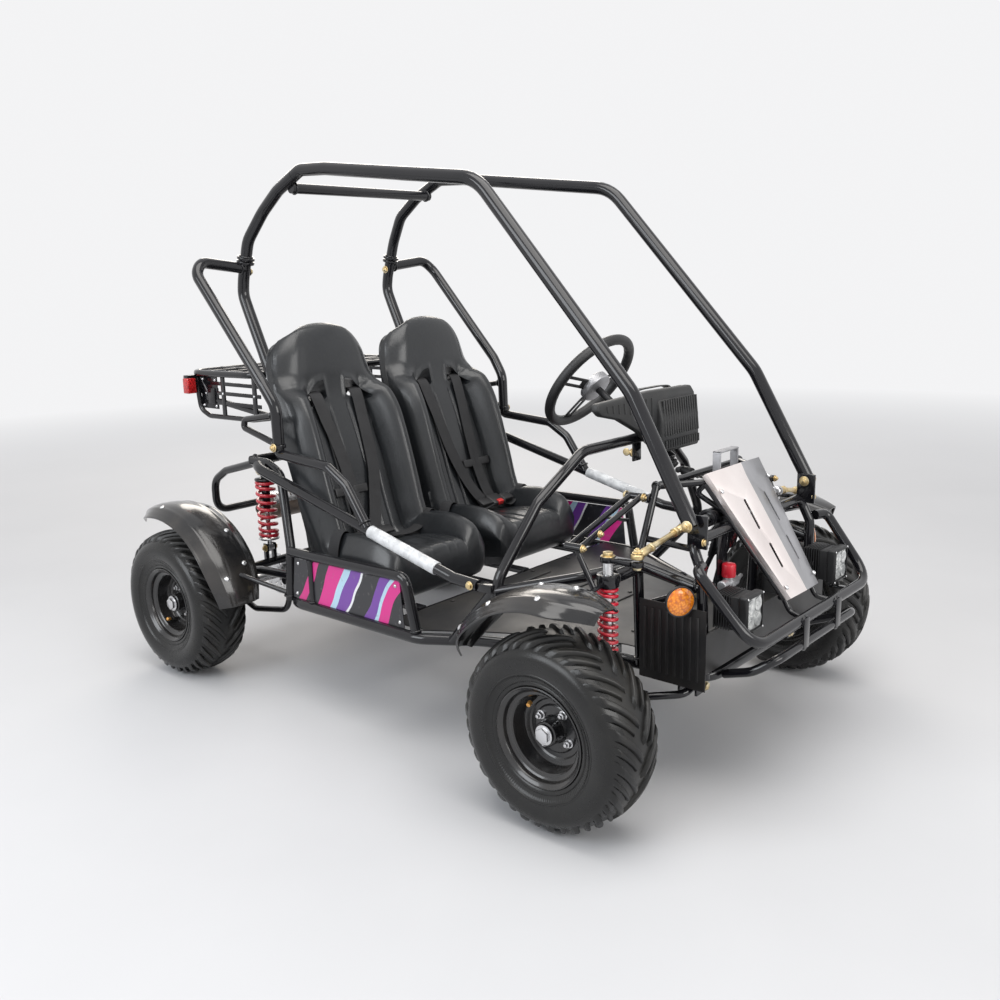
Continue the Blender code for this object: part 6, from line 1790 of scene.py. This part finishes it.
# Rear shocks
# A black damper body hangs in ears below the guard, its bright rod stands on the subframe,
# and a red coil spring presses the two apart.
shock_top = (0.562, 0.505)
shock_foot = (0.562, 0.29)
for name, side in SIDES:
    centre = Vector((side * 0.24, 0.562, 0.0))
    top_eye = [(0.006, -0.0105), (0.01, -0.011), (0.0115, -0.0095), (0.0115, 0.0095), (0.01, 0.011),
        (0.006, 0.0105)]
    seat_ring = [(0.011, 0.478), (0.027, 0.478), (0.028, 0.479), (0.028, 0.4825), (0.0262, 0.484),
        (0.015, 0.486), (0.011, 0.487)]
    parts = [turned_bar(centre + Vector((0, 0, 0.4)), centre + Vector((0, 0, 0.4985)), 0.0114, 40),
        lathe(seat_ring, centre, (0, 0, 1), 56), lathe(top_eye, centre + Vector((0, 0, 0.505)), (1, 0, 0),
        40)]
    finish_piece(f"damper_body_{name}", parts, gloss_black, f"rear_shock_{name}", f"rear_shock_{name}")
    low_ring = [(0.0064, 0.314), (0.027, 0.314), (0.028, 0.315), (0.028, 0.3185), (0.0262, 0.32),
        (0.012, 0.321), (0.0064, 0.326)]
    parts = [turned_bar(centre + Vector((0, 0, 0.296)), centre + Vector((0, 0, 0.45)), 0.0062, 32),
        lathe(low_ring, centre, (0, 0, 1), 56)]
    low_eye = [(0.006, -0.0095), (0.0092, -0.01), (0.0105, -0.0085), (0.0105, 0.0085), (0.0092, 0.01),
        (0.006, 0.0095)]
    parts.append(lathe(low_eye, centre + Vector((0, 0, 0.29)), (1, 0, 0), 40))
    finish_piece(f"damper_rod_{name}", parts, bright_steel, f"rear_shock_rod_{name}",
        f"rear_shock_rod_{name}")
    spring = coil(centre, 0.3205, 0.4775, 0.0232, 0.0046, 8.75, side)
    ends = (f"rear_shock_rod_{name}", (centre.x, centre.y, 0.474), (centre.x, centre.y, 0.3245))
    finish_piece(f"rear_coil_{name}", [spring], spring_red, f"rear_spring_{name}", f"rear_shock_{name}",
        edge=0, angle=60, stretch=ends)
    parts = bolt((side * 0.2562, *shock_top), (side, 0, 0), 0.0085, 0.0062, 0.003)
    parts += nut((side * 0.2238, *shock_top), (-side, 0, 0), 0.0085, 0.0055)
    finish_piece(f"shock_top_bolt_{name}", parts, yellow_zinc)
    parts = bolt((side * 0.2547, *shock_foot), (side, 0, 0), 0.008, 0.006, 0.003)
    parts += nut((side * 0.2253, *shock_foot), (-side, 0, 0), 0.008, 0.0055)
    finish_piece(f"shock_foot_bolt_{name}", parts, yellow_zinc, body="rear_swing")

# Luggage rack
# A welded loop with slats behind the seats. Red lamps sit in black blocks at its rear corners.
rack_half = [(0.288, 0.5055, 0.766), (0.288, 0.7975, 0.762)]
rack_run = on_side(rack_half, -1) + on_side(reversed(rack_half), 1)
parts = [bent_tube(rack_run, 0.009, bend=0.05, closed=True)]
for y in (0.58, 0.65, 0.72):
    parts.append(bent_tube([(-0.286, y, 0.7645), (0.286, y, 0.7645)], 0.0062))
    for side in (-1, 1):
        parts.append(weld((side * 0.279, y, 0.7645), (1, 0, 0), 0.0068))
parts += both_sides([(0.262, 0.795, 0.762), (0.262, 0.745, 0.69), (0.257, 0.4465, 0.652)], 0.0085,
    bend=0.05)
for x in (-0.19, -0.095, 0.0, 0.095, 0.19):
    parts.append(bent_tube([(x, 0.506, 0.77), (x, 0.796, 0.7665)], 0.0048))
parts += both_sides([(0.276, 0.793, 0.756), (0.272, 0.785, 0.66), (0.268, 0.75, 0.643),
    (0.262, 0.56, 0.644), (0.258, 0.47, 0.656)], 0.007, bend=0.03)
for side in (-1, 1):
    for low in (0.729, 0.703, 0.6765):
        parts.append(side_block(side, (0.266, 0.514, low), (0.269, 0.786, low + 0.0105)))
    for y in (0.54, 0.68):
        parts.append(side_block(side, (0.2655, y - 0.008, 0.644), (0.27, y + 0.008, 0.762)))
    parts += [soften(side_block(side, (0.2645, 0.708, 0.664), (0.268, 0.784, 0.756)), 0.0012),
        soften(side_block(side, (0.256, 0.716, 0.676), (0.274, 0.748, 0.722)), 0.004)]
for side in (-1, 1):
    parts += [weld((side * 0.2575, 0.46, 0.654), (0, 1, 0.15), 0.0092),
        side_block(side, (0.264, 0.784, 0.712), (0.31, 0.801, 0.756))]
finish_piece("rack_loop", parts, gloss_black, "rear_rack", edge=0.0012)
parts = []
for side in (-1, 1):
    for y, z in ((0.716, 0.744), (0.774, 0.744), (0.716, 0.672), (0.774, 0.672), (0.76, 0.706)):
        parts.append(domed_screw((side * 0.2679, y, z), (side, 0, 0), 0.0046))
    for y in (0.54, 0.68):
        parts.append(domed_screw((side * 0.2699, y, 0.708), (side, 0, 0), 0.004))
finish_piece("rack_screws", parts, bright_steel, edge=0)
ruby = Coat("ruby_lamp_lens", "orange", (0.55, 0.012, 0.015), 0.15)
facets = ruby.cells(190.0)
ruby.feed("Base Color", ruby.ramp(facets, (0.0, (0.85, 0.03, 0.03)), (0.8, (0.3, 0.006, 0.008))))
ruby.bump(facets, 0.4, 0.0012)
ruby.set("Coat Weight", 0.6)
parts = []
for side in (-1, 1):
    parts += [soften(side_block(side, (0.2665, 0.8, 0.7145), (0.3075, 0.808, 0.7535)), 0.003),
        soften(side_block(side, (0.285, 0.779, 0.706), (0.3125, 0.804, 0.748)), 0.003)]
finish_piece("rack_lamps", parts, ruby, edge=0)

# Side panels
# Thin printed sheets fill the side pods. Slanted bands of magenta, violet and pale blue run
# over black, and small screws hold the corners.
print_coat = Coat("printed_side_sheet", "", (0.02, 0.02, 0.022), 0.3)
bands = print_coat.add("Mapping", {}, Vector=print_coat.place, Rotation=(radians(-31), 0.0, 0.0))
run = print_coat.axis(1, bands)
ripple = print_coat.noise(9.0, 1.0) * 0.035
band_place = (run + ripple - 0.075) * 3.1
dark, magenta = (0.016, 0.016, 0.02), (0.68, 0.02, 0.25)
violet, pale = (0.17, 0.05, 0.34), (0.46, 0.66, 0.8)
colours = print_coat.ramp(band_place, (0.0, dark), (0.1, magenta), (0.19, pale), (0.22, violet),
    (0.3, dark), (0.46, (0.8, 0.8, 0.82)), (0.48, violet), (0.57, pale), (0.62, magenta), (0.74, dark),
    (0.84, (0.62, 0.02, 0.22)), (0.9, dark))
for node in print_coat.tree.nodes:
    if node.type == "VALTORGB":
        node.color_ramp.interpolation = "CONSTANT"
scuff = print_coat.ramp(print_coat.noise(70.0, 6.0), (0.6, 0.0), (0.72, 1.0))
print_coat.feed("Base Color", print_coat.mix(scuff * 0.35, colours, (0.2, 0.19, 0.18, 1.0)))
print_coat.worn(30.0, 4.0, 0.2, 0.22)
print_coat.set("Coat Weight", 0.3)
for name, side in SIDES:
    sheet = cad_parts[f"side_panel_{name}"]
    sheet.data.materials.clear()
    sheet.data.materials.append(print_coat.material)
    parts = []
    for y, z in ((0.205, 0.275), (0.196, 0.35), (-0.135, 0.355), (-0.145, 0.275)):
        parts.append(domed_screw((side * 0.4287, y, z), (side, 0, 0), 0.0042))
    finish_piece(f"panel_screws_{name}", parts, bright_steel, edge=0)

# Harness
# Each seat has two shoulder straps through its slots, two lap straps and a buckle with a red
# release. The webbing is woven black polyester.
webbing = Coat("woven_black_webbing", "vinyl", (0.014, 0.014, 0.015), 0.7)
weave_a = (webbing.axis(0) * 2600.0).wave()
weave_b = (webbing.axis(2) * 2200.0).wave()
webbing.bump(weave_a * weave_b, 0.4, 0.0006)
webbing.feed("Base Color", webbing.mix(webbing.noise(30.0, 4.0), (0.01, 0.01, 0.011, 1.0),
    (0.03, 0.03, 0.032, 1.0)))


def webbing_run(centre_x, knots, width, spread=(1, 0, 0)):
    """A strap laid over the seat through knots of (across, along, lift from the seat line)."""
    def place(part):
        across, along, lift = smooth_sections(knots, part)
        y, z, half, bolster, depth, flat = smooth_sections(seat_sections, along)
        before = smooth_sections(seat_sections, max(along - 0.02, 0.0))
        after = smooth_sections(seat_sections, min(along + 0.02, 1.0))
        line = Vector((0.0, after[0] - before[0], after[1] - before[1])).normalized()
        return Vector((centre_x + across * half, y, z)) + Vector((0.0, -line.z, line.y)) * lift

    def shape(across, along):
        here, ahead = place(along), place(min(along + 0.01, 1.0))
        if along > 0.985:
            here, ahead = place(along - 0.01), place(along)
        run = (ahead - here).normalized()
        aside = (Vector(spread) - run * run.dot(Vector(spread)) * 0.7).normalized()
        return place(along) + aside * (across - 0.5) * width
    return thicken(drawn_grid(4, 60, shape), 0.0016, -1.0, False)


for name, side in SIDES:
    centre_x = side * SEAT_ASIDE
    parts = []
    for hand in (-1, 1):
        shoulder = [(hand * 0.38, 0.64, -0.095), (hand * 0.39, 0.69, -0.04), (hand * 0.39, 0.682, 0.006),
            (hand * 0.33, 0.6, 0.009), (hand * 0.25, 0.5, 0.011), (hand * 0.16 + side * 0.1, 0.4, 0.016),
            (hand * 0.1 + side * 0.22, 0.335, 0.022), (hand * 0.07 + side * 0.26, 0.285, 0.022)]
        lap = [(hand * 1.0, 0.262, -0.034), (hand * 1.02, 0.262, -0.006), (hand * 0.985, 0.262, 0.026),
            (hand * 0.91, 0.262, 0.052), (hand * 0.82, 0.262, 0.058), (hand * 0.72, 0.262, 0.043),
            (hand * 0.62, 0.263, 0.02), (hand * 0.42 + side * 0.08, 0.266, 0.011),
            (hand * 0.1 + side * 0.26, 0.27, 0.022)]
        parts += [webbing_run(centre_x, shoulder, 0.036), webbing_run(centre_x, lap, 0.034, (0, 1, 0))]
    finish_piece(f"harness_{name}", parts, webbing, edge=0, angle=50)
    centre_x += side * 0.045
    y, z = 0.147, 0.388
    tilt = Matrix.Rotation(radians(24), 4, "X")
    parts = [soften(cut_block((centre_x - 0.024, y - 0.02, z - 0.007),
        (centre_x + 0.024, y + 0.024, z + 0.008), tilt), 0.005)]
    for hand in (-1, 1):
        tongue, clip = centre_x + hand * 0.045, centre_x + hand * 0.03
        parts += [soften(cut_block((tongue - 0.02, y - 0.012, z - 0.003),
            (tongue + 0.02, y + 0.016, z + 0.006), tilt, (centre_x, y, z)), 0.003),
            soften(cut_block((clip - 0.022, 0.214, 0.478), (clip + 0.022, 0.226, 0.5),
            Matrix.Rotation(radians(-15), 4, "X")), 0.003)]
    finish_piece(f"buckle_{name}", parts, belt_plastic, edge=0.0006)
    red_button = soften(cut_block((centre_x - 0.01, y - 0.0215, z - 0.002),
        (centre_x + 0.01, y - 0.008, z + 0.0105), tilt, (centre_x, y, z)), 0.002)
    red_plastic = Coat(f"red_release_{name}", "orange", (0.6, 0.02, 0.02), 0.35)
    red_plastic.grained(300.0, 2.0, 0.1, 0.0004)
    finish_piece(f"release_{name}", [red_button], red_plastic, edge=0)
